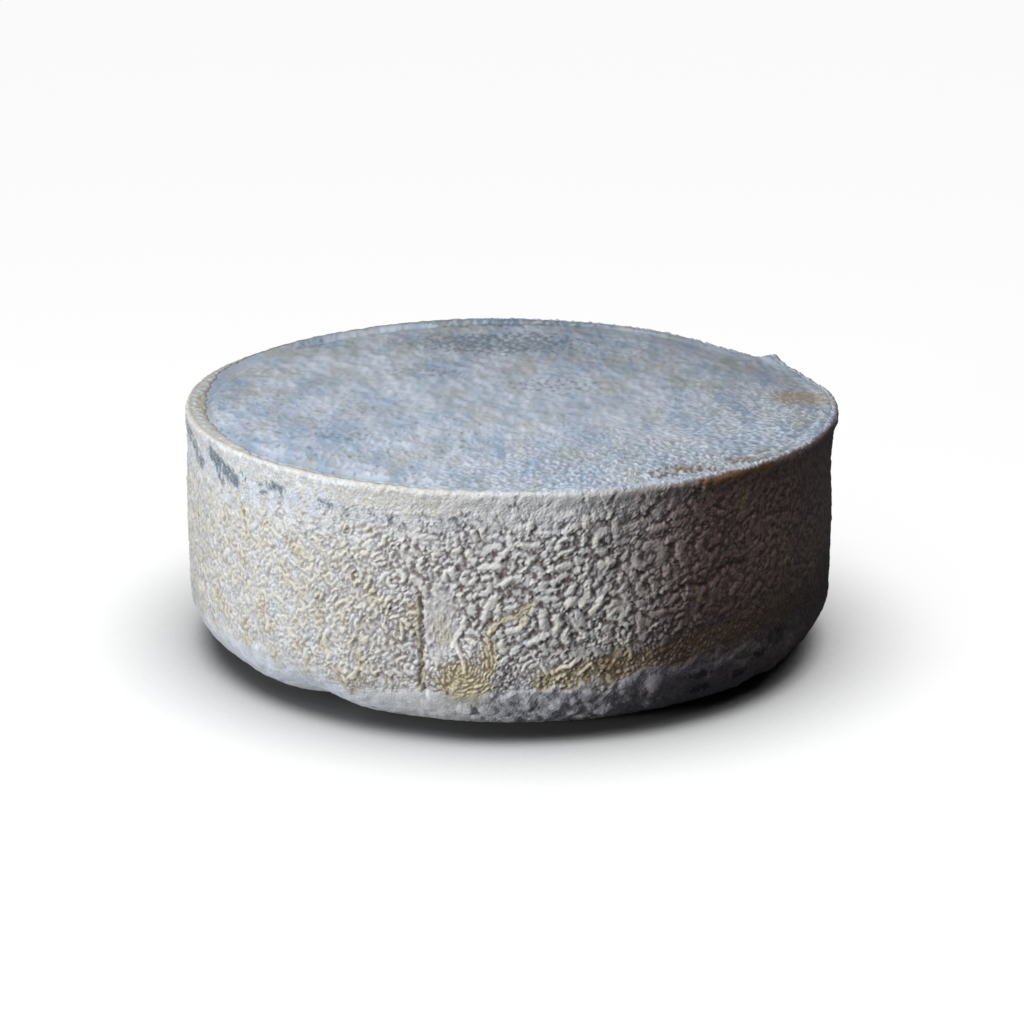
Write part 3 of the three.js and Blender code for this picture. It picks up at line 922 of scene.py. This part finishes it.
def rind_map():
    """Relief of the rind in millimetres and its colour masks, on the unrolled grid."""
    rng = np.random.default_rng(MAP_SEED)
    side = side_zones(rng)
    raise_rolls(rng, side)
    raise_lumps(rng, side)
    roughen(rng, side)
    side.mottle = grain(rng, side.shape, 3.2, spread=0.7)
    side.fine_mottle = grain(rng, side.shape, 1.5, spread=0.5)
    side.smears = grain(rng, side.shape, 4.5, stretch=1.7, turn=115, spread=0.6)

    past_crest = side.along - SECTION["crest"]
    drips = 0.8 * bell(past_crest + 2.5, 4.5) * smoothstep(side.mottle, -0.8, 0.9)
    lip = np.maximum(bell(past_crest + 0.2, 1.1), drips)
    lip = lip * smoothstep(np.cos(np.radians(side.bearing + 60)), 0.0, 0.4)
    ochre = ochre_mask(side, past_crest)
    frost = frost_mask(rng, side, past_crest)
    rust = rust_mask(rng, side, frost)
    cream = cream_mask(rng, side, past_crest, lip)
    # The right side, turned from the key light, takes the brown rind colour: partly rind with little bloom,
    # partly painted shade
    bare = side.right * lerp(0.6, 0.95, smoothstep(side.z + 3 * side.wander, 24, 40))
    bare = bare + 0.1 * side.mottle * side.right
    # Lip and band under the rim on the left, darkened as painted shade
    dulled = np.maximum(0.6 * lip, 0.15 * side.under_rim) * side.left
    return foot_masks(side) | {
        "relief": side.relief,
        "share": side.share,
        "tone": np.clip(0.5 + 0.3 * side.tone, 0, 1),
        "deep": side.brown_crease_in_shade,
        "ochre": ochre,
        "frost": frost,
        "rust": rust,
        "mould": mould_mask(side),
        "cream": np.clip(cream, 0, 1),
        "bare": np.clip(bare, 0, 1),
        "chalk": lines_mask(side, [(at, half + 0.2, 1.0) for half, at in PALE_ROLLS]),
        "shade": np.maximum(side.patch * (0.5 + 0.45 * side.mottle), dulled),
        "grit": side.under_rim * smoothstep(side.grit + 0.5 * side.mottle, 0.3, 1.8) * side.left,
    }


# ---------------------------------------------------------------- materials


def add_node(tree, kind, inputs=None, **settings):
    """Adds a node, sets its properties, then its inputs to values or links from sockets."""
    node = tree.nodes.new(kind)
    for name, value in settings.items():
        setattr(node, name, value)
    for name, value in (inputs or {}).items():
        if isinstance(value, bpy.types.NodeSocket):
            tree.links.new(value, node.inputs[name])
        else:
            node.inputs[name].default_value = value
    return node


def new_material(name, roughness, sheen):
    """An empty material with its shader and output."""
    material = bpy.data.materials.new(name)
    material.use_nodes = True
    tree = material.node_tree
    tree.nodes.clear()
    shader = add_node(tree, "ShaderNodeBsdfPrincipled", {
        "Roughness": roughness,
        "Specular IOR Level": 0.3,
        "Sheen Weight": sheen,
        "Sheen Roughness": 0.6,
    })
    add_node(tree, "ShaderNodeOutputMaterial", {"Surface": shader.outputs[0]})
    return material, tree, shader


def mask_of(tree, name):
    """A mask that the mesh carries."""
    return add_node(tree, "ShaderNodeAttribute", attribute_name=name).outputs["Fac"]


def masks_of(tree, names):
    """Several masks that the mesh carries, by name."""
    return SimpleNamespace(**{name: mask_of(tree, name) for name in names})


def remap(tree, value, low=0.0, high=1.0, to_low=0.0, to_high=1.0):
    """A number moved from one range to another and kept inside it."""
    node = add_node(tree, "ShaderNodeMapRange", {
        "Value": value, "From Min": low, "From Max": high, "To Min": to_low, "To Max": to_high,
    })
    return node.outputs["Result"]


def noise(tree, place, size_mm, detail, rough):
    """Noise of a size in millimetres."""
    node = add_node(tree, "ShaderNodeTexNoise", {
        "Vector": place, "Scale": 1.0 / (size_mm * MM), "Detail": detail, "Roughness": rough,
    })
    return node.outputs["Fac"]


def speckle(tree, place, size_mm, detail, rough, low, high):
    """Noise of a size in millimetres, stretched to the full range from 0 to 1."""
    return remap(tree, noise(tree, place, size_mm, detail, rough), low, high)


def roughened(tree, shader, height, strength):
    """Gives a surface unevenness that is too fine for its mesh."""
    bump = add_node(tree, "ShaderNodeBump", {"Strength": strength, "Distance": 0.3 * MM, "Height": height})
    tree.links.new(bump.outputs["Normal"], shader.inputs["Normal"])


def times(tree, first, second):
    """The product of two numbers."""
    return add_node(tree, "ShaderNodeMath", {0: first, 1: second}, operation="MULTIPLY").outputs[0]


def blend_colour(tree, share, under, over):
    """One colour laid over another by a share."""
    mix = add_node(tree, "ShaderNodeMix", {"Factor": share}, data_type="RGBA", clamp_factor=True)
    for socket, value in (("A_Color", under), ("B_Color", over)):
        target = next(s for s in mix.inputs if s.identifier == socket)
        if isinstance(value, bpy.types.NodeSocket):
            tree.links.new(value, target)
        else:
            target.default_value = tuple(value)
    return next(s for s in mix.outputs if s.identifier == "Result_Color")


def coats(tree, colour, layers):
    """A colour with others laid over it in order, each by its mask and strength."""
    for mask, strength, over in layers:
        share = mask if strength == 1 else times(tree, mask, strength)
        colour = blend_colour(tree, share, colour, over)
    return colour


def mould_clouds(tree, place, look):
    """Soft clouds of the mould on the top: pale, blue, rosy and faintly green."""
    drawn_out = add_node(tree, "ShaderNodeMapping", {"Vector": place, "Scale": (1.0, 0.42, 1.0)})
    drawn_out = drawn_out.outputs["Vector"]
    return coats(tree, look.mat_pale, [
        (speckle(tree, drawn_out, 17.0, 3.0, 0.5, 0.4, 0.6), 1, look.mat_blue),
        (speckle(tree, drawn_out, 8.0, 2.0, 0.5, 0.46, 0.66), 0.7, look.mat_rose),
        (speckle(tree, drawn_out, 11.0, 3.0, 0.55, 0.5, 0.7), 0.6, look.mat_olive),
    ])


def natural_rind(look):
    """Natural rind of a cave-aged blue cheese: dried paste under a dusty white mould, rubbed by hand.

    It is dull and chalky, white on the rolls, browner in the creases between them and darker there as
    painted shade, with ochre yeasts and blue-grey mould where the rind stayed wet. Painted shade also
    darkens the right side and its foot, most of all low on the right, and painted light whitens the
    foot on the left.
    """
    material, tree, shader = new_material("natural_rind", 0.9, 0.1)
    place = add_node(tree, "ShaderNodeTexCoord").outputs["Object"]
    mask = masks_of(tree, RIND_MASKS)
    dust = speckle(tree, place, 5.0, 6.0, 0.75, 0.4, 0.62)
    flecks = speckle(tree, place, 3.5, 2.0, 0.5, 0.42, 0.6)
    pores = speckle(tree, place, 1.3, 4.0, 0.7, 0.52, 0.72)
    raised = remap(tree, mask.share, 0.25, 0.8)
    # Low places take the crease colours: partly the browner rind of the creases, partly painted shade in
    # them, deeper on the front and right
    crease_shade = remap(tree, mask.share, 0.68, 0.14)
    depth = remap(tree, mask.deep, to_low=0.68, to_high=0.9)
    settled = remap(tree, dust, to_low=1.0, to_high=0.45)
    dulled = remap(tree, mask.powder_and_light, to_low=0.22, to_high=0.04)
    # Creases darken towards the right: partly browner rind, partly painted shade
    crease = coats(tree, look.pale_crease, [
        (mask.deep, 1, look.brown_crease_in_shade),
        (mask.bare, 0.8, look.shade_low_right),
    ])
    # Yeast is pale on the rolls and deep in the creases, partly as painted shade, and darker on the right as
    # painted shade
    yeast = coats(tree, look.ochre_deep, [
        (mask.share, 1, look.ochre_pale),
        (mask.bare, 0.7, look.brown_crease_in_shade),
    ])
    felt = coats(tree, mould_clouds(tree, place, look), [(flecks, 0.5, look.mat_white)])
    # Blue-grey mould, turned near black where the painted shade low on the right lies
    shaded = coats(tree, look.mould, [(mask.shade_low_right, 1, look.mould_in_low_shade)])
    colour = coats(tree, look.bloom, [
        (dust, 1, look.lilac),
        (times(tree, raised, mask.cream), 1, look.cream),
        (times(tree, mask.powder_and_light, settled), 1, look.powder_and_light),
        (times(tree, mask.deep, raised), 0.5, look.roll),
        # Brown rind on the right: partly little bloom, partly painted shade
        (mask.bare, 1, look.bare),
        (mask.dusky_and_shade, 0.8, look.dusky_and_shade),
        (times(tree, mask.tone, dulled), 1, look.pale_crease),
        (times(tree, mask.chalk, raised), 0.6, look.chalk),
        (times(tree, crease_shade, depth), 1, crease),
        (mask.shade, 0.45, look.dusky_and_shade),
        (mask.frost, 0.95, felt),
        (mask.ochre, 0.9, yeast),
        (mask.grit, 0.5, look.pores),
        (mask.rust, 1, look.rust),
        # Painted shade low on the right
        (mask.shade_low_right, 0.68, look.shade_low_right),
        (mask.mould, 1, shaded),
        (pores, 0.35, look.pores),
    ])
    tree.links.new(colour, shader.inputs["Base Color"])
    roughened(tree, shader, noise(tree, place, 1.1, 5.0, 0.65), 0.5)
    return material


def mould_mat(look):
    """Felted mould on the flat top: fine grey-blue threads laid flat, dusted with white spores.

    It scatters light softly and has no shine, and its threads show as drawn-out clouds.
    """
    material, tree, shader = new_material("mould_mat", 0.92, 0.15)
    place = add_node(tree, "ShaderNodeTexCoord").outputs["Object"]
    mask = masks_of(tree, ("ochre", "mould", "bare", "white", "rust"))
    colour = coats(tree, mould_clouds(tree, place, look), [
        (mask.ochre, 0.6, look.mat_olive),
        (mask.mould, 0.65, look.mat_dark),
        (mask.bare, 1, look.bare_orange),
        (mask.white, 1, look.mat_white),
        (mask.rust, 1, look.rust),
    ])
    tree.links.new(colour, shader.inputs["Base Color"])
    roughened(tree, shader, noise(tree, place, 1.8, 3.0, 0.5), 0.3)
    return material


# ---------------------------------------------------------------- meshes


def patch_mesh(name, columns, rows):
    """A square grid from -1 to 1, closed behind by a fan of faces to one hidden vertex below it."""
    bm = bmesh.new()
    bmesh.ops.create_grid(bm, x_segments=columns, y_segments=rows, size=1.0)
    border = [edge for edge in bm.edges if edge.is_boundary]
    behind = bmesh.ops.extrude_edge_only(bm, edges=border)["geom"]
    behind = [item for item in behind if isinstance(item, bmesh.types.BMVert)]
    bmesh.ops.pointmerge(bm, verts=behind, merge_co=(0, 0, -1))
    bmesh.ops.recalc_face_normals(bm, faces=bm.faces)
    mesh = bpy.data.meshes.new(name)
    bm.to_mesh(mesh)
    bm.free()
    return mesh


def give_uv(mesh, u, v, hidden):
    """Writes the piece's UV map; the hidden faces share one point in its corner."""
    corner = np.zeros(len(mesh.loops), np.int32)
    mesh.loops.foreach_get("vertex_index", corner)
    first = np.zeros(len(mesh.polygons), np.int32)
    count = np.zeros(len(mesh.polygons), np.int32)
    mesh.polygons.foreach_get("loop_start", first)
    mesh.polygons.foreach_get("loop_total", count)
    out_of_sight = np.repeat(np.add.reduceat(hidden[corner].astype(int), first) > 0, count)
    pairs = np.column_stack([u[corner], v[corner]]) * UV_SHARE
    pairs[out_of_sight] = UV_HIDDEN
    layer = mesh.uv_layers.new(name="OFBake")
    layer.uv.foreach_set("vector", pairs.astype(np.float32).ravel())


def lay_piece(name, columns, rows, place_at, masks_at, step, apex, material):
    """A closed piece whose grid is laid over a surface.

    place_at turns shares across and up the grid into places in millimetres, masks_at turns them
    into colour masks, step is the share over which slopes are taken, and apex is the hidden vertex.
    """
    mesh = patch_mesh(name, columns, rows)
    flat = np.zeros(len(mesh.vertices) * 3, np.float32)
    mesh.vertices.foreach_get("co", flat)
    grid = flat.reshape(-1, 3).astype(float)
    hidden = grid[:, 2] < -0.5
    u, v = (grid[:, 0] + 1.0) / 2.0, (grid[:, 1] + 1.0) / 2.0
    places = place_at(u, v)
    across = place_at(u + step[0], v) - place_at(u - step[0], v)
    upward = place_at(u, v + step[1]) - place_at(u, v - step[1])
    normals = np.cross(across, upward)
    places[hidden] = apex
    normals[hidden] = (0, 0, 1)
    normals /= np.linalg.norm(normals, axis=1, keepdims=True)
    mesh.vertices.foreach_set("co", (places * MM).astype(np.float32).ravel())
    for key, values in masks_at(u, v).items():
        layer = mesh.attributes.new(key, "FLOAT", "POINT")
        layer.data.foreach_set("value", (values + np.zeros(len(u))).astype(np.float32))
    give_uv(mesh, u, v, hidden)
    mesh.materials.append(material)
    mesh.shade_smooth()
    mesh.update()
    mesh.normals_split_custom_set_from_vertices(normals)
    piece = bpy.data.objects.new(name, mesh)
    bpy.context.scene.collection.objects.link(piece)
    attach(piece, BODY)
    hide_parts(NODE)
    return piece


def rind_stretch(name, start, span, columns, rows, fields, material):
    """One stretch of the wrinkled side, from under the heel to inside the ring."""

    def spot(u, v):
        along = np.interp(v, [0, 0.03, 1], [0, 12, SECTION_LENGTH])
        return start + span * u, along

    def field_at(key, bearing, along):
        return sample(fields[key], along / CELL, (bearing % 360.0) / 360.0 * MAP_COLUMNS)

    def place_at(u, v):
        bearing, along = spot(u, v)
        return rind_point(bearing, along, field_at("relief", bearing, along))

    def masks_at(u, v):
        return {key: field_at(key, *spot(u, v)) for key in RIND_MASKS}

    middle = math.radians(start + span / 2)
    apex = (100 * math.sin(middle), -100 * math.cos(middle), 52)
    step = (SLOPE_STEP / (math.radians(span) * SIDE_RADIUS), SLOPE_STEP / SECTION_LENGTH)
    return lay_piece(name, columns, rows, place_at, masks_at, step, apex, material)


def square_to_disc(x, y):
    """Turns places in a square from -1 to 1 into places in the unit disc, evenly."""
    swap = np.abs(x) < np.abs(y)
    radius = np.where(swap, y, x)
    safe = np.where(radius == 0, 1.0, radius)
    turn = np.where(swap, np.pi / 2 - np.pi / 4 * x / safe, np.pi / 4 * y / safe)
    return radius * np.cos(turn), radius * np.sin(turn)


def top_spots(x, y, spots, mottle):
    """Mottled blotches of the top, given as place, reach and strength."""
    mask = np.zeros(mottle.shape)
    for at_x, at_y, reach_x, reach_y, strength in spots:
        away = np.hypot((x - at_x) / reach_x, (y - at_y) / reach_y)
        mask = np.maximum(mask, strength * (1 - smoothstep(away, 0.3, 1.3)))
    return threshold(mask, mottle)


def top_map():
    """Relief of the mould mat in millimetres and its masks, on a square grid over the top."""
    rng = np.random.default_rng(MAP_SEED + 1)
    size = int(2 * WHEEL_RADIUS / CELL)
    shape = (size, size)
    axis = (np.arange(size) + 0.5) * CELL - WHEEL_RADIUS
    x, y = axis[None, :], axis[:, None]
    tufts = grain(rng, shape, 6, stretch=2.4, spread=0.5)
    fine = grain(rng, shape, 2.8, stretch=2.2, spread=0.4)
    left_front = smoothstep(-y - 0.6 * x, -10, 120)
    clumps = grain(rng, shape, 12, stretch=1.5, spread=0.5)
    relief = (0.01 + 0.06 * left_front) * fine + 0.07 * tufts + 0.13 * clumps
    mottle = grain(rng, shape, 4.5, stretch=2.2, spread=0.6)
    olive = smoothstep(grain(rng, shape, 6.5, stretch=2.4, spread=0.45) + 0.15 * fine, 1.1, 2.3)
    dark = smoothstep(grain(rng, shape, 4.2, stretch=2.6, spread=0.5) + 0.3 * fine, 1.3, 2.3)
    olive, dark = olive * (0.5 + 0.5 * left_front), dark * (0.45 + 0.55 * left_front)
    away = np.hypot((x - BARE_PATCH[0]) / BARE_PATCH[2], (y - BARE_PATCH[1]) / BARE_PATCH[3])
    bare = 0.85 * (1 - smoothstep(away + 0.15 * mottle, 0.35, 1.25))
    front_right = smoothstep(x - y, 20, 190)
    fibres = grain(rng, shape, 3.6, stretch=1.8, turn=-70, spread=0.6)
    veil = sum(
        strength * bell(np.hypot((x - at_x) / reach_x, (y - at_y) / reach_y), 1.0)
        for at_x, at_y, reach_x, reach_y, strength in TOP_VEILS
    )
    relief = (relief + 0.24 * fibres * front_right) * (1 - 0.85 * bare) - 0.5 * bare - 0.1 * dark
    relief = np.clip(relief, -0.5, 0.6)
    specks = top_spots(x, y, TOP_RUST, 2.4 * grain(rng, shape, 3.0, stretch=2.0, spread=0.5))
    white = 0.52 * smoothstep(fibres + 0.4 * tufts, 0.0, 1.6) * front_right + veil * (1 - dark)
    # Dark mat between the raised fibres of the front right: painted shade between them, carried in the mould
    # mask
    between = 1.1 * front_right * smoothstep(-fibres, 0.1, 1.5)
    return {
        "relief": relief,
        "white": np.clip(white, 0, 1),
        "rust": 0.85 * specks,
        "ochre": np.maximum(top_spots(x, y, TOP_OCHRE, mottle), olive),
        "mould": np.maximum(top_spots(x, y, TOP_MOULD, mottle), np.maximum(between, dark)),
        "bare": bare,
    }


def mould_top(cells, material):
    """The mould mat over the top, which dips under the ring at its edge."""
    fields = top_map()
    reach = CREST_RADIUS - 0.2

    def spot(u, v):
        x, y = square_to_disc(2 * u - 1, 2 * v - 1)
        return x * reach, y * reach

    def field_at(key, x, y):
        return sample(fields[key], (y + WHEEL_RADIUS) / CELL - 0.5, (x + WHEEL_RADIUS) / CELL - 0.5)

    def place_at(u, v):
        x, y = spot(u, v)
        past_edge = np.hypot(x, y) - mat_edge(np.degrees(np.arctan2(x, -y)))
        under = 1.4 * smoothstep(past_edge, -0.3, 1.2)
        relief = field_at("relief", x, y) * (1.0 - smoothstep(past_edge, -3.0, 0.0))
        return np.stack([x, y, top_surface(x, y) + relief - under], axis=-1)

    def masks_at(u, v):
        return {key: field_at(key, *spot(u, v)) for key in fields if key != "relief"}

    return lay_piece("mould_top", cells, cells, place_at, masks_at, (0.0016, 0.0016), (0, 0, 30), material)


def rind_base(cells, material):
    """The flat base that the wheel stands on, with a faint weave of the shelf."""
    reach = BASE_RADIUS - 1.0

    def place_at(u, v):
        x, y = square_to_disc(2 * u - 1, 1 - 2 * v)
        x, y = x * reach, y * reach
        weave = 0.12 + 0.12 * np.cos(x / 3.1) * np.cos(y / 3.4)
        lifted = smoothstep(np.hypot(x, y), reach - 3, reach)
        return np.stack([x, y, weave + lifted], axis=-1)

    def masks_at(u, v):
        return dict.fromkeys(RIND_MASKS, 0.0) | {"share": 0.6, "tone": 0.5, "cream": 0.5}

    return lay_piece("rind_base", cells, cells, place_at, masks_at, (0.002, 0.002), (0, 0, 12), material)


# ---------------------------------------------------------------- settings


def colour_setting(name, description, code):
    """A colour that the user may change."""
    return FloatVectorProperty(
        name=name, description=description, subtype="COLOR", size=4, default=linear(code), min=0, max=1)


class RindLook(bpy.types.PropertyGroup):
    """Colours and fineness of the wheel's rind."""

    bloom: colour_setting("Bloom", "White mould on the rolls", "#e1e7f1")
    lilac: colour_setting("Lilac bloom", "Greyer bloom between the white", "#c3cbda")
    # Blue-white bloom, whitened as painted light
    powder_and_light: colour_setting("Powder", "Blue-white powder of the left foot", "#eaf1ff")
    chalk: colour_setting("Chalk", "Palest rolls", "#e9e3d8")
    # Painted shade low on the right of the side and foot
    shade_low_right: colour_setting("Soot", "Dark damp rind low on the right", "#3c2c2d")
    # Mould darkened to near black by the painted shade low on the right
    mould_in_low_shade: colour_setting("Black mould", "Blotches of black mould low on the right", "#1c1b1e")
    cream: colour_setting("Cream", "Bare cream rind of the lip and of warm patches", "#d8ccb4")
    # Partly rind with little bloom, partly painted shade of the right side
    bare: colour_setting("Brown rind", "Rind with little bloom on the right side", "#765551")
    pale_crease: colour_setting("Pale crease", "Creases of the fine wrinkles", "#8f8370")
    # Creases of the front and right: partly brown rind, partly painted shade
    brown_crease_in_shade: colour_setting("Dark crease", "Creases between the coarse rolls", "#64472f")
    roll: colour_setting("Roll", "Warm grey of the coarse rolls", "#d8cfc2")
    # Lilac-grey bloom, darkened as painted shade
    dusky_and_shade: colour_setting("Dusky foot", "Lilac-grey bloom of the foot on the front and right", "#747283")
    pores: colour_setting("Pores", "Fine grey pores in the bloom", "#8f8f94")
    ochre_pale: colour_setting("Pale ochre", "Yellow-brown yeast on the rolls", "#d4caa8")
    ochre_deep: colour_setting("Deep ochre", "Yellow-brown yeast in the creases", "#765e36")
    rust: colour_setting("Rust", "Orange-brown line along the right of the rim", "#7a5832")
    mould: colour_setting("Blue mould", "Blue-grey mould", "#5f6774")
    mat_pale: colour_setting("Pale mat", "Pale threads of the top", "#c6ccd6")
    mat_blue: colour_setting("Blue mat", "Bluer threads of the top", "#9dadc0")
    mat_rose: colour_setting("Rosy mat", "Faint rosy clouds of the top", "#bebbc6")
    mat_dark: colour_setting("Dark mat", "Dark flecks of the top", "#69757f")
    mat_olive: colour_setting("Olive mat", "Olive and beige flecks of the top", "#a9a796")
    mat_white: colour_setting("White mat", "White tufts of the top", "#dfe3ea")
    bare_orange: colour_setting("Orange patch", "Bare rind at the back right of the top", "#ab9478")
    side_rows: IntProperty(
        name="Side rows", description="Rows of faces up the side", default=384, min=60, max=384)
    side_columns: IntProperty(
        name="Side columns", description="Faces round each stretch of the side", default=255, min=40, max=255)
    top_cells: IntProperty(
        name="Top cells", description="Faces across the top", default=312, min=40, max=312)
    base_cells: IntProperty(
        name="Base cells", description="Faces across the base", default=90, min=20, max=200)


class StageLook(bpy.types.PropertyGroup):
    """Floor, lights and camera."""

    floor: colour_setting("Floor", "Pale floor", "#6a6a6a")
    key_power: FloatProperty(
        name="Key light", description="Power of the low light on the left", default=11.2, min=0, unit="POWER")
    sky_power: FloatProperty(
        name="Overhead light", description="Power of the cool light above", default=2.3, min=0, unit="POWER")
    fill_power: FloatProperty(
        name="Fill light", description="Power of the wide light over the right", default=3.3, min=0,
        unit="POWER")
    lens: FloatProperty(
        name="Lens", description="Focal length in millimetres", default=100.72, min=20, max=300)


# ---------------------------------------------------------------- operators


class CHEESE_OT_rind_side(bpy.types.Operator):
    """Builds the wrinkled side, heel and rim in six stretches"""

    bl_idname = "cheese.rind_side"
    bl_label = "Rind side"

    def execute(self, context):
        look = context.scene.cheese_rind
        fields = rind_map()
        material = natural_rind(look)
        for name, start, span in STRETCHES:
            rind_stretch(name, start, span, look.side_columns, look.side_rows, fields, material)
        return {"FINISHED"}


class CHEESE_OT_mould_top(bpy.types.Operator):
    """Lays the felted mould mat over the top"""

    bl_idname = "cheese.mould_top"
    bl_label = "Mould top"

    def execute(self, context):
        look = context.scene.cheese_rind
        mould_top(look.top_cells, mould_mat(look))
        return {"FINISHED"}


class CHEESE_OT_rind_base(bpy.types.Operator):
    """Closes the wheel underneath with its flat base"""

    bl_idname = "cheese.rind_base"
    bl_label = "Rind base"

    def execute(self, context):
        rind_base(context.scene.cheese_rind.base_cells, bpy.data.materials["natural_rind"])
        return {"FINISHED"}


def add_light(name, location, size, power, colour):
    """A rectangular area light aimed at the middle of the wheel."""
    data = bpy.data.lights.new(name, "AREA")
    data.shape = "RECTANGLE"
    data.size, data.size_y = size
    data.energy = power
    data.color = colour
    light = bpy.data.objects.new(name, data)
    light.location = location
    light.rotation_euler = (Vector(WHEEL_MIDDLE) - Vector(location)).to_track_quat("-Z", "Y").to_euler()
    bpy.context.scene.collection.objects.link(light)


def add_floor(look):
    """The pale floor, which glows evenly and darkens where the wheel shuts out the light.

    It shows bright to the camera and throws back only a little, cool light onto the wheel.
    """
    bm = bmesh.new()
    bmesh.ops.create_grid(bm, x_segments=1, y_segments=1, size=30.0)
    mesh = bpy.data.meshes.new("floor")
    bm.to_mesh(mesh)
    bm.free()
    floor = bpy.data.objects.new("floor", mesh)
    bpy.context.scene.collection.objects.link(floor)
    material, tree, shader = new_material("pale_floor", 0.9, 0.0)
    shader.inputs["Base Color"].default_value = tuple(look.floor)
    near = add_node(tree, "ShaderNodeAmbientOcclusion", {"Distance": 0.16}, samples=16)
    glow = remap(tree, near.outputs["AO"], 0.33, 0.82, 0.0, 0.95)
    seen = add_node(tree, "ShaderNodeLightPath").outputs["Is Camera Ray"]
    bounce = remap(tree, seen, to_low=0.05)
    tint = blend_colour(tree, seen, (0.7, 0.86, 1.0, 1.0), (1.0, 1.0, 1.0, 1.0))
    tree.links.new(tint, shader.inputs["Emission Color"])
    tree.links.new(times(tree, glow, bounce), shader.inputs["Emission Strength"])
    mesh.materials.append(material)
    floor.visible_glossy = False


def add_world():
    """White surroundings that light the wheel only faintly."""
    world = bpy.data.worlds.new("studio")
    world.use_nodes = True
    tree = world.node_tree
    tree.nodes.clear()
    seen = add_node(tree, "ShaderNodeLightPath").outputs["Is Camera Ray"]
    background = add_node(tree, "ShaderNodeBackground", {
        "Color": (1.0, 1.0, 1.0, 1.0), "Strength": remap(tree, seen, to_low=0.014),
    })
    add_node(tree, "ShaderNodeOutputWorld", {"Surface": background.outputs[0]})
    bpy.context.scene.world = world
    bpy.context.scene.view_settings.view_transform = "Standard"


def add_camera(look):
    """The camera, which looks down on the wheel from the front."""
    camera = bpy.data.objects.new("camera", bpy.data.cameras.new("camera"))
    bpy.context.scene.collection.objects.link(camera)
    tilt, roll = math.radians(CAMERA_TILT), math.radians(CAMERA_ROLL)
    above = CAMERA_AIM + CAMERA_DISTANCE * math.sin(tilt)
    camera.location = (0, -CAMERA_DISTANCE * math.cos(tilt), above)
    turned = Matrix.Rotation(math.pi / 2 - tilt, 3, "X") @ Matrix.Rotation(roll, 3, "Z")
    camera.rotation_euler = turned.to_euler()
    camera.data.sensor_width = 36.0
    camera.data.lens = look.lens
    camera.data.shift_x, camera.data.shift_y = CAMERA_SHIFT
    bpy.context.scene.camera = camera


class CHEESE_OT_stage(bpy.types.Operator):
    """Sets out the floor, the soft lights and the camera"""

    bl_idname = "cheese.stage"
    bl_label = "Stage"

    def execute(self, context):
        look = context.scene.cheese_stage
        add_floor(look)
        turn = math.radians(KEY_BEARING)
        low_left = (KEY_DISTANCE * math.sin(turn), -KEY_DISTANCE * math.cos(turn), 0.2)
        add_light("key", low_left, (0.28, 0.16), look.key_power, (0.985, 1.0, 1.0))
        add_light("sky", (-0.15, -0.25, 0.5), (0.4, 0.4), look.sky_power, (0.88, 0.94, 1.0))
        add_light("fill", (0.4, -0.5, 1.3), (1.0, 1.0), look.fill_power, (1.0, 0.98, 0.96))
        add_world()
        add_camera(look)
        return {"FINISHED"}


class CHEESE_PT_wheel(bpy.types.Panel):
    """Lists the steps that build the wheel"""

    bl_label = "Cheese wheel"
    bl_idname = "CHEESE_PT_wheel"
    bl_space_type = "VIEW_3D"
    bl_region_type = "UI"
    bl_category = "Cheese"

    def draw(self, context):
        for step in STEPS:
            self.layout.operator(step.bl_idname)
        look = context.scene.cheese_rind
        for name in ("bloom", "lilac", "cream", "bare", "ochre_pale", "mould"):
            self.layout.prop(look, name)


STEPS = (CHEESE_OT_rind_side, CHEESE_OT_mould_top, CHEESE_OT_rind_base, CHEESE_OT_stage)
CLASSES = (RindLook, StageLook) + STEPS + (CHEESE_PT_wheel,)


def register():
    """Registers the classes and hangs their settings on the scene."""
    for cls in CLASSES:
        bpy.utils.register_class(cls)
    bpy.types.Scene.cheese_rind = PointerProperty(type=RindLook)
    bpy.types.Scene.cheese_stage = PointerProperty(type=StageLook)


def unregister():
    """Takes back what register did."""
    del bpy.types.Scene.cheese_stage
    del bpy.types.Scene.cheese_rind
    for cls in reversed(CLASSES):
        bpy.utils.unregister_class(cls)


def main():
    """Builds the wheel."""
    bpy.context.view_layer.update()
    register()
    bpy.ops.cheese.rind_side()
    bpy.ops.cheese.mould_top()
    bpy.ops.cheese.rind_base()
    bpy.ops.cheese.stage()
    bpy.context.view_layer.update()


if __name__ == "__main__":
    main()
